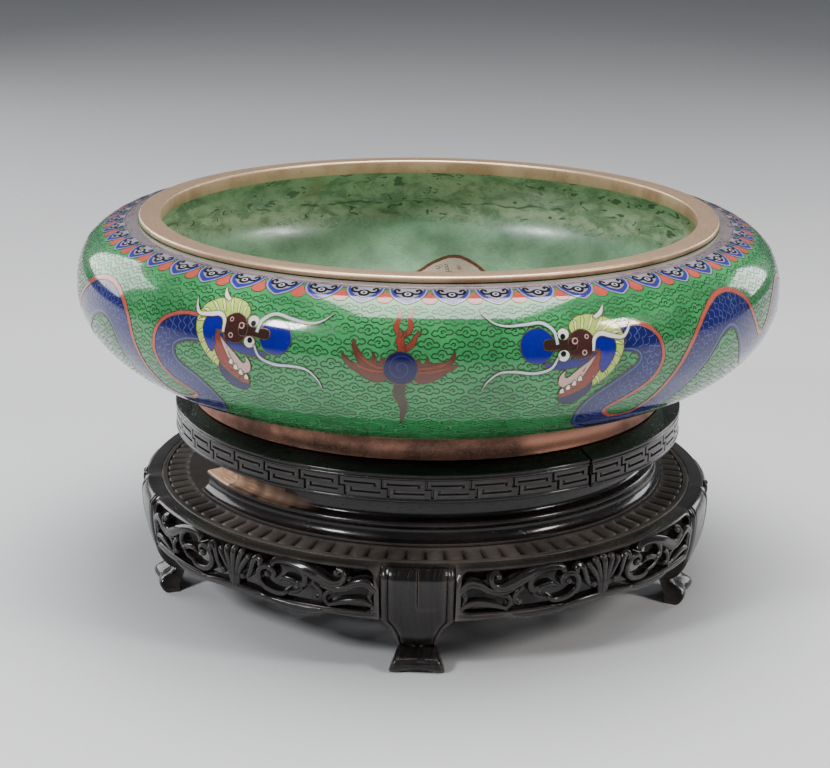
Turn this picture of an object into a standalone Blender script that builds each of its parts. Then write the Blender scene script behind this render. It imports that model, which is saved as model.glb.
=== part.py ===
# Cloisonne bowl on its carved hardwood stand, for Blender 4.5, in metres, +Z up.
# The front faces -Y. An azimuth is counted from the front, positive towards +X, in degrees.

from math import acos, asin, cos, degrees, pi, radians, sin

import bmesh
import bpy
from mathutils import Vector
from mathutils.geometry import delaunay_2d_cdt

# The bowl.
bowl_radius = 0.150
bowl_height = 0.0790
shell_wall = 0.0030
shoulder_power = 2.54
belly_power = 1.9
lip_rise = 0.0002
mouth_radius = 0.1145
rim_width = 0.0090
rim_thickness = 0.0025
rim_skirt = 0.0038
rim_skirt_wall = 0.0020
foot_radius = 0.1028
foot_wall = 0.0035
foot_height = 0.0085
bowl_facets = 40

# The stand, from its feet up.
stand_height = 0.0827
clearance = 0.0003
leg_count = 5
leg_width = 0.0296
waist_width = 0.0170
waist_level = 0.0100
foot_width = 0.0236
foot_arch = 0.0014
foot_pad = 0.0045
toe_round = 0.0022
leg_bevel = 0.0010
shoulder_level = 0.0405
shoulder_drop = 0.0012
apron_bottom = 0.0235
apron_thickness = 0.0060
rail_height = 0.0020
stile_width = 0.0021
deck_radius = 0.1165
shoulder_reach = 0.0087
waist_inset = 0.0114
toe_reach = 0.0074
leg_tuck = 0.0125
deck_thickness = 0.0080
deck_level = 0.0460
deck_edge_width = 0.0024
plateau_rise = 0.0012
petals_per_leg = 18
petal_length = 0.0094
petal_depth = 0.0012
petal_margin = 0.0002
moulding_radius = 0.1040
step_radius = 0.1012
step_round = 0.0008
neck_radius = 0.0975
neck_flare = 0.0014
moulding_inner_radius = 0.0860
step_height = 0.0094
gallery_radius = 0.1106
gallery_inner_radius = 0.0970
gallery_height = 0.0147
gallery_slope = 0.0028
bead_height = 0.0013
bead_depth = 0.0008
frets_per_arc = 8
fret_depth = 0.0008
fret_stroke = 0.0013
open_joint = 0.0012
proud_arc = 0.0006
sunk_arc = 0.0008

# The moulding is lost between these azimuths, and the gallery's open joint is at half a leg's pitch.
lost_from = -108.0
lost_to = -66.0

# The legs were set out by hand: their azimuths from the front one round to the right.
leg_azimuths = (-1.4, 71.5, 143.0, 214.0, 285.3)

# Levels and radii that follow from the sizes above.
leg_pitch = 360.0 / leg_count
shoulder_radius = deck_radius + shoulder_reach
waist_radius = shoulder_radius - waist_inset
foot_reach = waist_radius + toe_reach
leg_inner_radius = deck_radius - leg_tuck
gallery_top = stand_height
gallery_bottom = gallery_top - gallery_height
plateau_level = deck_level + plateau_rise
moulding_bottom = plateau_level + clearance
foot_level = gallery_top + clearance
shell_bottom = foot_level + foot_height + clearance
rim_top = foot_level + bowl_height
seat_level = rim_top - rim_thickness - clearance
rim_radius = mouth_radius + rim_width
widest_level = foot_level + 0.624 * bowl_height


def clear_scene():
    for item in list(bpy.data.objects):
        bpy.data.objects.remove(item, do_unlink=True)


def finish(name, colour, roughness, metallic):
    material = bpy.data.materials.new(name)
    material.use_nodes = True
    shader = material.node_tree.nodes["Principled BSDF"]
    shader.inputs["Base Color"].default_value = (*colour, 1.0)
    shader.inputs["Roughness"].default_value = roughness
    shader.inputs["Metallic"].default_value = metallic
    return material


def polar(radius, azimuth, height):
    angle = radians(azimuth)
    return Vector((radius * sin(angle), -radius * cos(angle), height))


def to_object(shape, name, material):
    bmesh.ops.remove_doubles(shape, verts=shape.verts, dist=1e-6)
    bmesh.ops.recalc_face_normals(shape, faces=shape.faces)
    mesh = bpy.data.meshes.new(name)
    shape.to_mesh(mesh)
    shape.free()
    mesh.materials.append(material)
    mesh.shade_smooth()
    mesh.set_sharp_from_angle(angle=radians(30.0))
    item = bpy.data.objects.new(name, mesh)
    bpy.context.scene.collection.objects.link(item)
    return item


def turned(profile, steps):
    """Spin (radius, height) points right round: a closed ring, or a line from axis to axis."""
    shape = bmesh.new()
    points = [shape.verts.new(polar(radius, 0.0, height)) for radius, height in profile]
    closed = min(radius for radius, height in profile) > 0.0
    ends = points + points[:1] if closed else points
    edges = [shape.edges.new(pair) for pair in zip(ends, ends[1:])]
    bmesh.ops.spin(shape, geom=points + edges, cent=(0, 0, 0), axis=(0, 0, 1),
                   angle=2.0 * pi, steps=steps, use_merge=True)
    return shape


def turned_arc(profile, start, end, steps):
    """Spin a closed section from one azimuth to another, with its two end faces."""
    shape = bmesh.new()
    points = [shape.verts.new(polar(radius, start, height)) for radius, height in profile]
    section = shape.faces.new(points)
    bmesh.ops.spin(shape, geom=points + list(section.edges) + [section], cent=(0, 0, 0),
                   axis=(0, 0, 1), angle=radians(end - start), steps=steps, use_merge=False)
    return shape


def quarter(centre_radius, level, reach, rise, power, count, last_radius=None):
    """Points of a squared quarter ellipse, from its widest point to its end or to last_radius."""
    last = 0.5 * pi
    if last_radius is not None:
        last = acos(((last_radius - centre_radius) / reach) ** (0.5 * power))
    points = []
    for index in range(count + 1):
        angle = last * index / count
        radius = centre_radius + reach * max(cos(angle), 0.0) ** (2.0 / power)
        points.append((radius, level + rise * sin(angle) ** (2.0 / power)))
    return points


def ribbon(path, widths):
    """The outline round a path of 2D points, mitred at its corners, with a width at each point."""
    left = []
    right = []
    for index, point in enumerate(path):
        before = point - path[index - 1] if index > 0 else path[1] - path[0]
        after = path[index + 1] - point if index < len(path) - 1 else before
        before = before.normalized()
        after = after.normalized()
        mitre = Vector((-before.y - after.y, before.x + after.x)) / (1.0 + before.dot(after))
        left.append(point + mitre * 0.5 * widths[index])
        right.append(point - mitre * 0.5 * widths[index])
    return left + right[::-1]


def shell_walls(inset, upper_count, lower_count, mouth):
    """The bowl's wall line from the mouth over the shoulder to the floor, moved in by inset."""
    shoulder_centre = mouth_radius + 0.4 * rim_width
    belly_centre = foot_radius - 3.2 * foot_wall
    reach = bowl_radius - inset
    upper = quarter(shoulder_centre, widest_level, reach - shoulder_centre,
                    seat_level + lip_rise - inset - widest_level, shoulder_power, upper_count, mouth)
    lower = quarter(belly_centre, widest_level, reach - belly_centre,
                    shell_bottom + inset - widest_level, belly_power, lower_count)
    return upper[::-1] + lower[1:]


def build_bowl(enamel, brass, copper):
    lip_radius = mouth_radius + rim_skirt_wall + clearance
    outside = shell_walls(0.0, 4, 6, rim_radius + clearance)
    inside = shell_walls(shell_wall, 3, 4, None)
    seat = outside[0][1]
    profile = [(0.0, shell_bottom + shell_wall)] + inside[::-1]
    profile += [(lip_radius, inside[0][1]), (lip_radius, seat)]
    profile += outside + [(0.0, shell_bottom)]
    to_object(turned(profile, bowl_facets), "bowl_body", enamel)

    band_bottom = seat + clearance
    skirt_bottom = rim_top - rim_skirt - rim_thickness
    edge = 0.25 * rim_thickness
    band = [(mouth_radius, rim_top), (rim_radius - edge, rim_top), (rim_radius, rim_top - edge),
            (rim_radius, band_bottom),
            (mouth_radius + rim_skirt_wall, band_bottom),
            (mouth_radius + rim_skirt_wall, skirt_bottom), (mouth_radius, skirt_bottom)]
    to_object(turned(band, bowl_facets), "mouth_rim", brass)

    foot_top = shell_bottom - clearance
    foot = [(foot_radius, foot_top), (foot_radius, foot_level),
            (foot_radius - foot_wall, foot_level), (foot_radius - foot_wall, foot_top)]
    to_object(turned(foot, bowl_facets), "foot_ring", copper)


def gallery_section():
    top_bead = gallery_top - gallery_slope
    face = gallery_radius - bead_depth
    return [(gallery_inner_radius, gallery_bottom), (gallery_inner_radius, gallery_top),
            (foot_radius + bead_depth, gallery_top),
            (gallery_radius, top_bead), (gallery_radius, top_bead - 2.0 * bead_height),
            (face, top_bead - 2.2 * bead_height), (face, gallery_bottom + 1.2 * bead_height),
            (gallery_radius, gallery_bottom + bead_height), (gallery_radius, gallery_bottom)]


def fret_cutter(start, step, material):
    """One key of the fret for each facet of a gallery arc: a square spiral groove."""
    low = gallery_bottom + 1.2 * bead_height + 0.9 * fret_stroke
    high = gallery_top - gallery_slope - 2.2 * bead_height - 0.9 * fret_stroke
    face = (gallery_radius - bead_depth) * cos(radians(0.5 * step))
    half = (gallery_radius - bead_depth) * sin(radians(0.5 * step)) - 0.8 * fret_stroke
    middle = 0.5 * (low + high)
    path = [Vector(point) for point in (
        (-half, low), (-half, high), (half, high), (half, middle), (-0.4 * half, middle))]
    outline = ribbon(path, [fret_stroke] * len(path))
    shape = bmesh.new()
    for index in range(frets_per_arc):
        azimuth = start + (index + 0.5) * step
        along = Vector((cos(radians(azimuth)), sin(radians(azimuth)), 0.0))
        rings = []
        for radius in (face + fret_depth, face - fret_depth):
            centre = polar(radius, azimuth, 0.0)
            rings.append([shape.verts.new(centre + along * point.x + Vector((0, 0, point.y)))
                          for point in outline])
        outer, inner = rings
        shape.faces.new(outer)
        shape.faces.new(inner[::-1])
        for one, two, three, four in zip(outer, outer[1:] + outer[:1],
                                         inner[1:] + inner[:1], inner):
            shape.faces.new((two, one, four, three))
    cutter = to_object(shape, "fret_cutter", material)
    cutter.hide_render = True
    cutter.display_type = "WIRE"
    return cutter


def build_gallery(wood):
    for number in range(leg_count):
        joint = leg_pitch * (number + 0.5)
        first_gap = open_joint if number in (0, 3) else clearance
        last_gap = open_joint if number == 3 else clearance
        start = joint + degrees(0.5 * first_gap / gallery_inner_radius)
        end = joint + leg_pitch - degrees(0.5 * last_gap / gallery_inner_radius)
        step = (end - start) / frets_per_arc
        arc = to_object(turned_arc(gallery_section(), start, end, frets_per_arc),
                        f"gallery_arc_{number + 1}", wood)
        cutter = fret_cutter(start, step, wood)
        cut = arc.modifiers.new("fret", "BOOLEAN")
        cut.operation = "DIFFERENCE"
        cut.solver = "EXACT"
        cut.object = cutter
        # The arc to the right of the open joint stands a little proud, and the one over the loss has sunk in.
        push = {0: proud_arc, 3: -sunk_arc}.get(number, 0.0)
        outward = polar(push, joint + 0.5 * leg_pitch, 0.0)
        arc.location = outward
        cutter.location = outward


def build_moulding(wood):
    """The turned neck and cove between the deck and the gallery, with its lost stretch left open."""
    step_top = moulding_bottom + step_height
    cove_top = moulding_bottom + 0.64 * step_height
    cove_foot = moulding_bottom + 0.10 * step_height
    neck_top = gallery_bottom - clearance
    flare = 0.5 * (neck_top - step_top)
    profile = [(moulding_inner_radius, moulding_bottom), (moulding_radius, moulding_bottom),
               (moulding_radius, cove_foot)]
    hollow = moulding_radius - step_radius + step_round
    for turn in (30.0, 60.0):
        profile.append((moulding_radius - hollow * sin(radians(turn)),
                        cove_top - (cove_top - cove_foot) * cos(radians(turn))))
    profile += [(step_radius - step_round, cove_top), (step_radius, cove_top + 0.2 * step_height),
                (step_radius - step_round, step_top), (neck_radius, step_top + 0.1 * flare),
                (neck_radius + neck_flare, neck_top),
                (moulding_inner_radius, neck_top)]
    kept = 360.0 - (lost_to - lost_from)
    to_object(turned_arc(profile, lost_to, lost_to + kept, round(kept / 9.0)), "cove_moulding", wood)


def build_deck(wood):
    """The round board: a raised middle, a ring of petals that falls outwards, and a flat edge."""
    count = leg_count * petals_per_leg
    pitch = 360.0 / count
    edge_inner = deck_radius - deck_edge_width
    petal_outer = edge_inner - petal_margin
    petal_inner = petal_outer - petal_length
    shape = bmesh.new()

    def ring(radius, height, offset=0.0, step=1.0, total=count):
        return [shape.verts.new(polar(radius, (index * step + offset) * pitch, height))
                for index in range(total)]

    middle = ring(petal_inner, plateau_level)
    grooves = ring(petal_outer, deck_level - petal_depth)
    crests = ring(petal_outer, deck_level - 0.2 * petal_depth, 0.5)
    edge = ring(edge_inner, deck_level)
    rim = ring(deck_radius, deck_level)
    under = ring(deck_radius, deck_level - deck_thickness, 0.0, 2.0, count // 2)
    shape.faces.new(middle)
    shape.faces.new(under[::-1])
    for index in range(count):
        after = (index + 1) % count
        shape.faces.new((middle[index], grooves[index], crests[index]))
        shape.faces.new((middle[index], crests[index], middle[after]))
        shape.faces.new((middle[after], crests[index], grooves[after]))
        shape.faces.new((grooves[index], edge[index], crests[index]))
        shape.faces.new((crests[index], edge[index], edge[after]))
        shape.faces.new((crests[index], edge[after], grooves[after]))
        shape.faces.new((edge[index], rim[index], rim[after], edge[after]))
    for index in range(count // 2):
        first = 2 * index
        last = (first + 2) % count
        after = (index + 1) % (count // 2)
        shape.faces.new((rim[first], under[index], rim[first + 1]))
        shape.faces.new((rim[first + 1], under[index], under[after]))
        shape.faces.new((rim[first + 1], under[after], rim[last]))
    to_object(shape, "deck", wood)


shoulder_top = deck_level - shoulder_drop
shoulder_fall = shoulder_level - waist_level


def outer_radius(height):
    """The stand's outline: a rounded shoulder at the deck that runs in to the legs' waist."""
    if height > shoulder_level:
        share = (height - shoulder_level) / (deck_level + 1.3 * shoulder_drop - shoulder_level)
        reach = shoulder_radius - deck_radius
        return deck_radius + reach * max(1.0 - share ** 2.0, 0.0) ** 0.5
    share = (shoulder_level - height) / shoulder_fall
    reach = shoulder_radius - waist_radius
    return waist_radius + reach * max(1.0 - share ** 2.1, 0.0) ** 0.6


def inner_radius(height):
    return min(deck_radius + clearance, outer_radius(height) - apron_thickness)


def inside_outline(point, outline):
    """Even and odd crossings of a line to the right of the point."""
    inside = False
    for one, two in zip(outline, outline[1:] + outline[:1]):
        if (one.y > point.y) != (two.y > point.y):
            crossing = one.x + (point.y - one.y) / (two.y - one.y) * (two.x - one.x)
            if crossing > point.x:
                inside = not inside
    return inside


def arc_points(centre, radius, first, last, count):
    """Points on an arc, from one angle to another in degrees, counted from +X towards +Y."""
    angles = [radians(first + (last - first) * index / count) for index in range(count + 1)]
    return [centre + Vector((cos(angle), sin(angle))) * radius for angle in angles]


def scroll_strokes(half, low, high):
    """The apron's carving: a fan in the middle, and a scroll, a hook and leaves to each side."""
    tall = high - low
    unit = tall / 17.0
    strokes = []
    fan = [(-2.0, -1.0), (2.0, -1.0), (3.0, 4.0), (7.0, 9.5), (4.0, 12.5), (0.0, 13.8),
           (-4.0, 12.5), (-7.0, 9.5), (-3.0, 4.0)]
    strokes.append([Vector((along * unit, low + up * unit)) for along, up in fan])
    for side in (-1.0, 1.0):
        def at(along, up):
            return Vector((side * along * half / 59.0, low + up * unit))

        ring_centre = at(25.0, 8.3)
        turns = (-60.0, 280.0) if side > 0 else (240.0, -100.0)
        ring = arc_points(ring_centre, 6.6 * unit, turns[0], turns[1], 6)
        # Each list holds a stroke's path and its width at every point, in seventeenths of the height.
        plan = [
            (ring, [2.6, 2.9, 3.0, 2.9, 2.6, 2.4, 2.8]),
            ([at(4.5, -1.0), at(10.0, 10.5), at(15.0, 12.5), at(19.0, 8.5)], [3.0, 2.8, 3.0, 2.4]),
            ([at(27.0, 18.0), at(40.0, 8.0), at(46.5, 9.0), at(45.5, 14.5)], [3.6, 2.8, 2.4, 3.2]),
            ([at(61.0, 9.5), at(44.0, 7.5)], [3.4, 2.4]),
        ]
        for path, widths in plan:
            strokes.append(ribbon(path, [width * unit for width in widths]))
    return strokes


def build_aprons(wood, leg_half_angle):
    """Pierced panels that follow the shoulder's curve, cut as a flat plan and then bent round."""
    half_angle = 0.5 * leg_pitch - leg_half_angle
    gap = degrees(clearance / deck_radius)
    bend = shoulder_radius
    half_length = radians(half_angle - gap) * bend
    half = half_length - stile_width
    low = apron_bottom + rail_height
    high = shoulder_top - rail_height
    spans = 8
    corner = 0.22 * (high - low)
    along = [half_length * (2.0 * index / spans - 1.0) for index in range(spans + 1)]
    levels = [apron_bottom, 0.5 * (apron_bottom + high), shoulder_top]
    plate = [Vector((x, apron_bottom)) for x in along] + [Vector((half_length, levels[1]))]
    plate += [Vector((x, shoulder_top)) for x in along[::-1]] + [Vector((-half_length, levels[1]))]
    window = [Vector((max(min(x, half), -half), low)) for x in along]
    window += arc_points(Vector((half - corner, high - corner)), corner, 0.0, 90.0, 2)
    window += [Vector((x, high)) for x in along[-2:0:-1]]
    window += arc_points(Vector((corner - half, high - corner)), corner, 90.0, 180.0, 2)
    strokes = scroll_strokes(half, low, high)

    points = []
    edges = []
    for outline in [plate, window] + strokes:
        first = len(points)
        points += outline
        edges += [(first + index, first + (index + 1) % len(outline)) for index in range(len(outline))]
    flat, _, triangles, _, _, _ = delaunay_2d_cdt(points, edges, [], 0, 1e-5)
    kept = []
    for triangle in triangles:
        centre = sum((flat[corner_index] for corner_index in triangle), Vector((0.0, 0.0))) / 3.0
        open_here = inside_outline(centre, window)
        carved = any(inside_outline(centre, stroke) for stroke in strokes)
        if inside_outline(centre, plate) and (carved or not open_here):
            kept.append(triangle)
    directed = {(triangle[index], triangle[(index + 1) % 3]) for triangle in kept for index in range(3)}
    border = [pair for pair in directed if (pair[1], pair[0]) not in directed]

    for number in range(leg_count):
        first_leg = leg_azimuths[number]
        next_leg = leg_azimuths[(number + 1) % leg_count] + (360.0 if number == leg_count - 1 else 0.0)
        middle = 0.5 * (first_leg + next_leg)
        stretch = (0.5 * (next_leg - first_leg) - leg_half_angle - gap) / (half_angle - gap)
        shape = bmesh.new()
        front = {}
        back = {}
        for index in sorted({corner_index for triangle in kept for corner_index in triangle}):
            azimuth = middle + stretch * degrees(flat[index].x / bend)
            height = flat[index].y
            front[index] = shape.verts.new(polar(outer_radius(height), azimuth, height))
            back[index] = shape.verts.new(polar(inner_radius(height), azimuth, height))
        for one, two, three in kept:
            shape.faces.new((front[one], front[two], front[three]))
            shape.faces.new((back[three], back[two], back[one]))
        for one, two in border:
            shape.faces.new((front[two], front[one], back[one], back[two]))
        to_object(shape, f"apron_{number + 1}", wood)


def arch_cutter(azimuth, material):
    """The hollow under a foot, which leaves it on two flat pads."""
    half = 0.5 * foot_width - foot_pad
    along = Vector((cos(radians(azimuth)), sin(radians(azimuth)), 0.0))
    section = [(-half, -foot_arch), (half, -foot_arch), (0.6 * half, foot_arch), (-0.6 * half, foot_arch)]
    shape = bmesh.new()
    ends = [[shape.verts.new(polar(radius, azimuth, height) + along * across) for across, height in section]
            for radius in (foot_reach + foot_width, leg_inner_radius - foot_width)]
    shape.faces.new(ends[0])
    shape.faces.new(ends[1][::-1])
    for one, two, three, four in zip(ends[0], ends[0][1:] + ends[0][:1], ends[1][1:] + ends[1][:1], ends[1]):
        shape.faces.new((two, one, four, three))
    cutter = to_object(shape, "arch_cutter", material)
    cutter.hide_render = True
    cutter.display_type = "WIRE"
    return cutter


def build_legs(wood, leg_half_angle):
    """A leg is one block: a shoulder that carries the deck, a waist, and a foot that turns out."""
    deck_bottom = deck_level - deck_thickness - clearance
    full = leg_half_angle
    waist = degrees(asin(0.5 * waist_width / waist_radius))
    foot = degrees(asin(0.5 * foot_width / foot_reach))
    inner_foot = waist_radius - 0.45 * (waist_radius - leg_inner_radius)
    tip = 0.25 * waist_level
    # Rows from the floor up: height, outer radius, inner radius, half angle.
    rows = [(0.0, foot_reach - toe_round, inner_foot, foot * 0.96),
            (tip, foot_reach, inner_foot, foot),
            (0.6 * waist_level, 0.4 * foot_reach + 0.6 * waist_radius, inner_foot, 0.5 * (foot + waist)),
            (waist_level, outer_radius(waist_level), inner_foot, waist)]
    for share in (0.25, 0.6):
        height = waist_level + share * (apron_bottom - waist_level)
        rows.append((height, outer_radius(height), inner_foot, waist + share * share * (full - waist)))
    for height in (apron_bottom, 0.5 * (apron_bottom + deck_bottom), deck_bottom):
        rows.append((height, outer_radius(height), leg_inner_radius, full))
    for height in (deck_bottom, 0.5 * (shoulder_level + shoulder_top), shoulder_top):
        rows.append((height, outer_radius(height), deck_radius + clearance, full))

    for number, middle in enumerate(leg_azimuths):
        shape = bmesh.new()
        loops = []
        for height, outer, inner, half in rows:
            edge = degrees(leg_bevel / outer)
            loops.append([shape.verts.new(polar(radius, middle + azimuth, height))
                          for radius, azimuth in (
                              (inner, -half), (outer - leg_bevel, -half), (outer, edge - half), (outer, 0.0),
                              (outer, half - edge), (outer - leg_bevel, half), (inner, half),
                              (inner, 0.0))])
        for below, above in zip(loops, loops[1:]):
            for one, two, three, four in zip(below, below[1:] + below[:1],
                                             above[1:] + above[:1], above):
                shape.faces.new((one, two, three, four))
        shape.faces.new(loops[0][::-1])
        shape.faces.new(loops[-1])
        leg = to_object(shape, f"leg_{number + 1}", wood)
        cut = leg.modifiers.new("arch", "BOOLEAN")
        cut.operation = "DIFFERENCE"
        cut.solver = "EXACT"
        cut.object = arch_cutter(middle, wood)


clear_scene()
enamel_finish = finish("green_enamel", (0.03, 0.22, 0.06), 0.18, 0.0)
brass_finish = finish("gilt_brass", (0.62, 0.45, 0.30), 0.30, 1.0)
copper_finish = finish("bare_copper", (0.55, 0.30, 0.22), 0.35, 1.0)
wood_finish = finish("dark_hardwood", (0.030, 0.022, 0.020), 0.32, 0.0)
half_leg = degrees(asin(0.5 * leg_width / shoulder_radius))
build_bowl(enamel_finish, brass_finish, copper_finish)
build_gallery(wood_finish)
build_moulding(wood_finish)
build_deck(wood_finish)
build_aprons(wood_finish, half_leg)
build_legs(wood_finish, half_leg)
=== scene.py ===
from math import acos, asin, cos, degrees, pi, radians, sin

import bmesh
import bpy
import numpy as np
from mathutils import Matrix, Vector
from mathutils.geometry import delaunay_2d_cdt


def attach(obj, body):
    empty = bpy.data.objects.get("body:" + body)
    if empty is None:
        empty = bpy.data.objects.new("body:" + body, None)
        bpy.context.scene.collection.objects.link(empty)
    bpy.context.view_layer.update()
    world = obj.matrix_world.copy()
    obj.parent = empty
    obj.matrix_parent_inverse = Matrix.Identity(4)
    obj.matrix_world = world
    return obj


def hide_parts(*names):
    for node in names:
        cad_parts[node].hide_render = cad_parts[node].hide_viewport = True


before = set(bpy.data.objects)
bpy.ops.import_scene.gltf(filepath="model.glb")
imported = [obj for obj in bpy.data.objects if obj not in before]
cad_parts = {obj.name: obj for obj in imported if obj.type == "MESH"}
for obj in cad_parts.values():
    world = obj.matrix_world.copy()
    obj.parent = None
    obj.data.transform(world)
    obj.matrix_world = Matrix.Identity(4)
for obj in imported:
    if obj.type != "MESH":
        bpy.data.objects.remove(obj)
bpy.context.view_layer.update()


# The bowl's shell.
# It is a raised copper shell under green enamel, inside and out, ground and polished after firing.
# Flat distances on the wall are in millimetres: along is how far round at the widest level, and
# down is how far from the seam under the rim.
bowl_radius = 0.150
around = 2.0 * pi * bowl_radius * 1000.0
mouth_radius = 0.1145
rim_radius = 0.1235
shell_wall = 0.0030
shell_bottom = 0.0918
widest_level = 0.132296
seat_level = 0.1592
seam = 0.0003
shoulder_centre = 0.1181
belly_centre = 0.0916


def polar(radius, azimuth, height):
    """A point, or rows of points, so many degrees round from the front."""
    turn = np.radians(azimuth)
    return np.array((radius * np.sin(turn), -radius * np.cos(turn), height + 0.0 * turn)).T


def squared_quarter(centre, rise, power, inset, steps, last_radius=None):
    reach = bowl_radius - inset - centre
    last = acos(((last_radius - centre) / reach) ** (0.5 * power)) if last_radius else 0.5 * pi
    turns = np.linspace(0.0, last, steps + 1)
    return np.stack((centre + reach * np.maximum(np.cos(turns), 0.0) ** (2.0 / power),
                     widest_level + rise * np.sin(turns) ** (2.0 / power)), axis=1)


def wall_line(inset, steps, last_radius=None):
    """Radius and height down the wall, from the mouth over the shoulder to the floor's edge."""
    shoulder_rise = seat_level + 0.0002 - inset - widest_level
    upper = squared_quarter(shoulder_centre, shoulder_rise, 2.54, inset, steps, last_radius)
    lower = squared_quarter(belly_centre, shell_bottom + inset - widest_level, 1.9, inset, steps)
    return np.vstack((upper[::-1], lower[1:]))


def travelled(line):
    return np.concatenate(([0.0], np.cumsum(np.linalg.norm(np.diff(line, axis=0), axis=1))))


outer_line = wall_line(0.0, 400, rim_radius + seam)
outer_down = travelled(outer_line) * 1000.0
inner_line = wall_line(shell_wall, 400)
inner_line = np.vstack((inner_line, [(0.001, inner_line[-1][1])]))
inner_down = travelled(inner_line) * 1000.0


def on_wall(flat, lift, inside):
    """Points and outward normals on the bowl's wall for rows of (along, down) in millimetres."""
    line, down = (inner_line, inner_down) if inside else (outer_line, outer_down)

    def trace(shift):
        return np.array([np.interp(flat[:, 1] + shift, down, column) for column in line.T])

    slope_r, slope_z = trace(0.25) - trace(-0.25)
    out = np.array((-slope_z, slope_r)) / (np.hypot(slope_r, slope_z) + 1e-12) * (-1.0 if inside else 1.0)
    radius, height = trace(0.0) + 0.001 * lift * out
    azimuth = flat[:, 0] * 360.0 / around
    return polar(radius, azimuth, height), polar(out[0], azimuth, out[1])


def net(rows, columns, close_rows=False, close_columns=False, ends=False):
    """Faces of a net of points kept row by row, and the two ends of one that is closed one way."""
    grid = np.arange(rows * columns).reshape(rows, columns)
    open_ends = grid if close_columns else grid.T
    caps = [open_ends[0].tolist(), open_ends[-1, ::-1].tolist()] if ends else []
    if close_rows:
        grid = np.vstack((grid, grid[:1]))
    if close_columns:
        grid = np.hstack((grid, grid[:, :1]))
    quads = np.stack((grid[:-1, :-1], grid[:-1, 1:], grid[1:, 1:], grid[1:, :-1]), axis=-1)
    return quads.reshape(-1, 4).tolist() + caps


def turned(profile, steps):
    """Points and faces of a profile of (radius, height) carried all the way round."""
    points = []
    rings = []
    for radius, height in profile:
        count = steps if radius > 1e-9 else 1
        rings.append([len(points) + index % count for index in range(steps + 1)])
        points += [polar(radius, 360.0 * index / count, height) for index in range(count)]
    faces = [tuple(dict.fromkeys((below[index], below[index + 1], above[index + 1], above[index])))
             for below, above in zip(rings, rings[1:] + rings[:1]) for index in range(steps)]
    return points, [face for face in faces if len(face) > 2]


def show(name, data):
    item = bpy.data.objects.new(name, data)
    bpy.context.scene.collection.objects.link(item)
    return item


def new_piece(name, points, faces, finishes=()):
    """A mesh through flat or solid points."""
    mesh = bpy.data.meshes.new(name)
    mesh.from_pydata([(*point, 0.0)[:3] for point in points], [], faces)
    for finish in finishes:
        mesh.materials.append(finish)
    return show(name, mesh)


def close_up(piece, sharp, merge=1e-6):
    """Merge doubles, point the faces of a closed piece outwards and shade it smooth."""
    shape = bmesh.new()
    shape.from_mesh(piece.data)
    bmesh.ops.remove_doubles(shape, verts=shape.verts, dist=merge)
    bmesh.ops.recalc_face_normals(shape, faces=shape.faces)
    shape.to_mesh(piece.data)
    shape.free()
    piece.data.shade_smooth()
    piece.data.set_sharp_from_angle(angle=radians(sharp))
    return piece


def feed(node, feeds):
    """Link or set a node's sockets; a colour may leave out its alpha."""
    for label, value in feeds.items():
        socket = node.inputs[label]
        if isinstance(value, bpy.types.NodeSocket):
            node.id_data.links.new(value, socket)
        else:
            socket.default_value = (*value, 1.0)[:4] if socket.type == "RGBA" else value


def lay(tree, kind, feeds=None, **settings):
    """Add a shader or geometry node, set what it is told and feed its sockets."""
    node = tree.nodes.new(kind)
    for name, value in settings.items():
        setattr(node, name, value)
    feed(node, feeds or {})
    return node


def blend(share, first, second):
    return lay(share.id_data, "ShaderNodeMix", {0: share, 6: first, 7: second}, data_type="RGBA").outputs[2]


def work(way, first, second, clamp=False):
    tree = (first if isinstance(first, bpy.types.NodeSocket) else second).id_data
    return lay(tree, "ShaderNodeMath", {0: first, 1: second}, operation=way, use_clamp=clamp).outputs[0]


def times(first, second, clamp=False):
    return work("MULTIPLY", first, second, clamp)


def plus(first, second, clamp=False):
    return work("ADD", first, second, clamp)


def minus(first, second):
    return work("SUBTRACT", first, second)


def spread(value, low, high, start=0.0, end=1.0):
    return lay(value.id_data, "ShaderNodeMapRange", {0: value, 1: low, 2: high, 3: start, 4: end},
               interpolation_type="SMOOTHSTEP").outputs[0]


def grain_of(vector, scale, detail=4.0, rough=0.5, warp=0.0):
    return lay(vector.id_data, "ShaderNodeTexNoise", {"Vector": vector, "Scale": scale, "Detail": detail,
                                                      "Roughness": rough, "Distortion": warp}).outputs[0]


def stretched(vector, scale):
    return lay(vector.id_data, "ShaderNodeMapping", {"Vector": vector, "Scale": scale}).outputs[0]


def new_group(name, inputs, outputs, kind="ShaderNodeTree"):
    """A node group with named inputs and outputs, for the caller to fill."""
    tree = bpy.data.node_groups.new(name, kind)
    for way, labels in (("INPUT", inputs), ("OUTPUT", outputs)):
        for label, sort in labels.items():
            tree.interface.new_socket(label, in_out=way, socket_type="NodeSocket" + sort)
    return tree, tree.nodes.new("NodeGroupInput").outputs, tree.nodes.new("NodeGroupOutput")


def new_finish(name):
    """A material, its shader and the place on the piece that its patterns follow."""
    material = bpy.data.materials.new(name)
    material.use_nodes = True
    place = lay(material.node_tree, "ShaderNodeTexCoord").outputs["Object"]
    return material, material.node_tree.nodes["Principled BSDF"], place


def relieved(height, strength):
    return lay(height.id_data, "ShaderNodeBump",
               {"Strength": strength, "Distance": 1.0, "Height": height}).outputs[0]


def dress(shader, effect, strength, feeds):
    """Put a shared effect with its own values on a shader."""
    look = lay(shader.id_data, "ShaderNodeGroup", feeds, node_tree=effect).outputs
    feed(shader, {"Base Color": look["Colour"], "Roughness": look["Roughness"],
                  "Normal": relieved(look["Height"], strength)})
    return look


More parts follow.
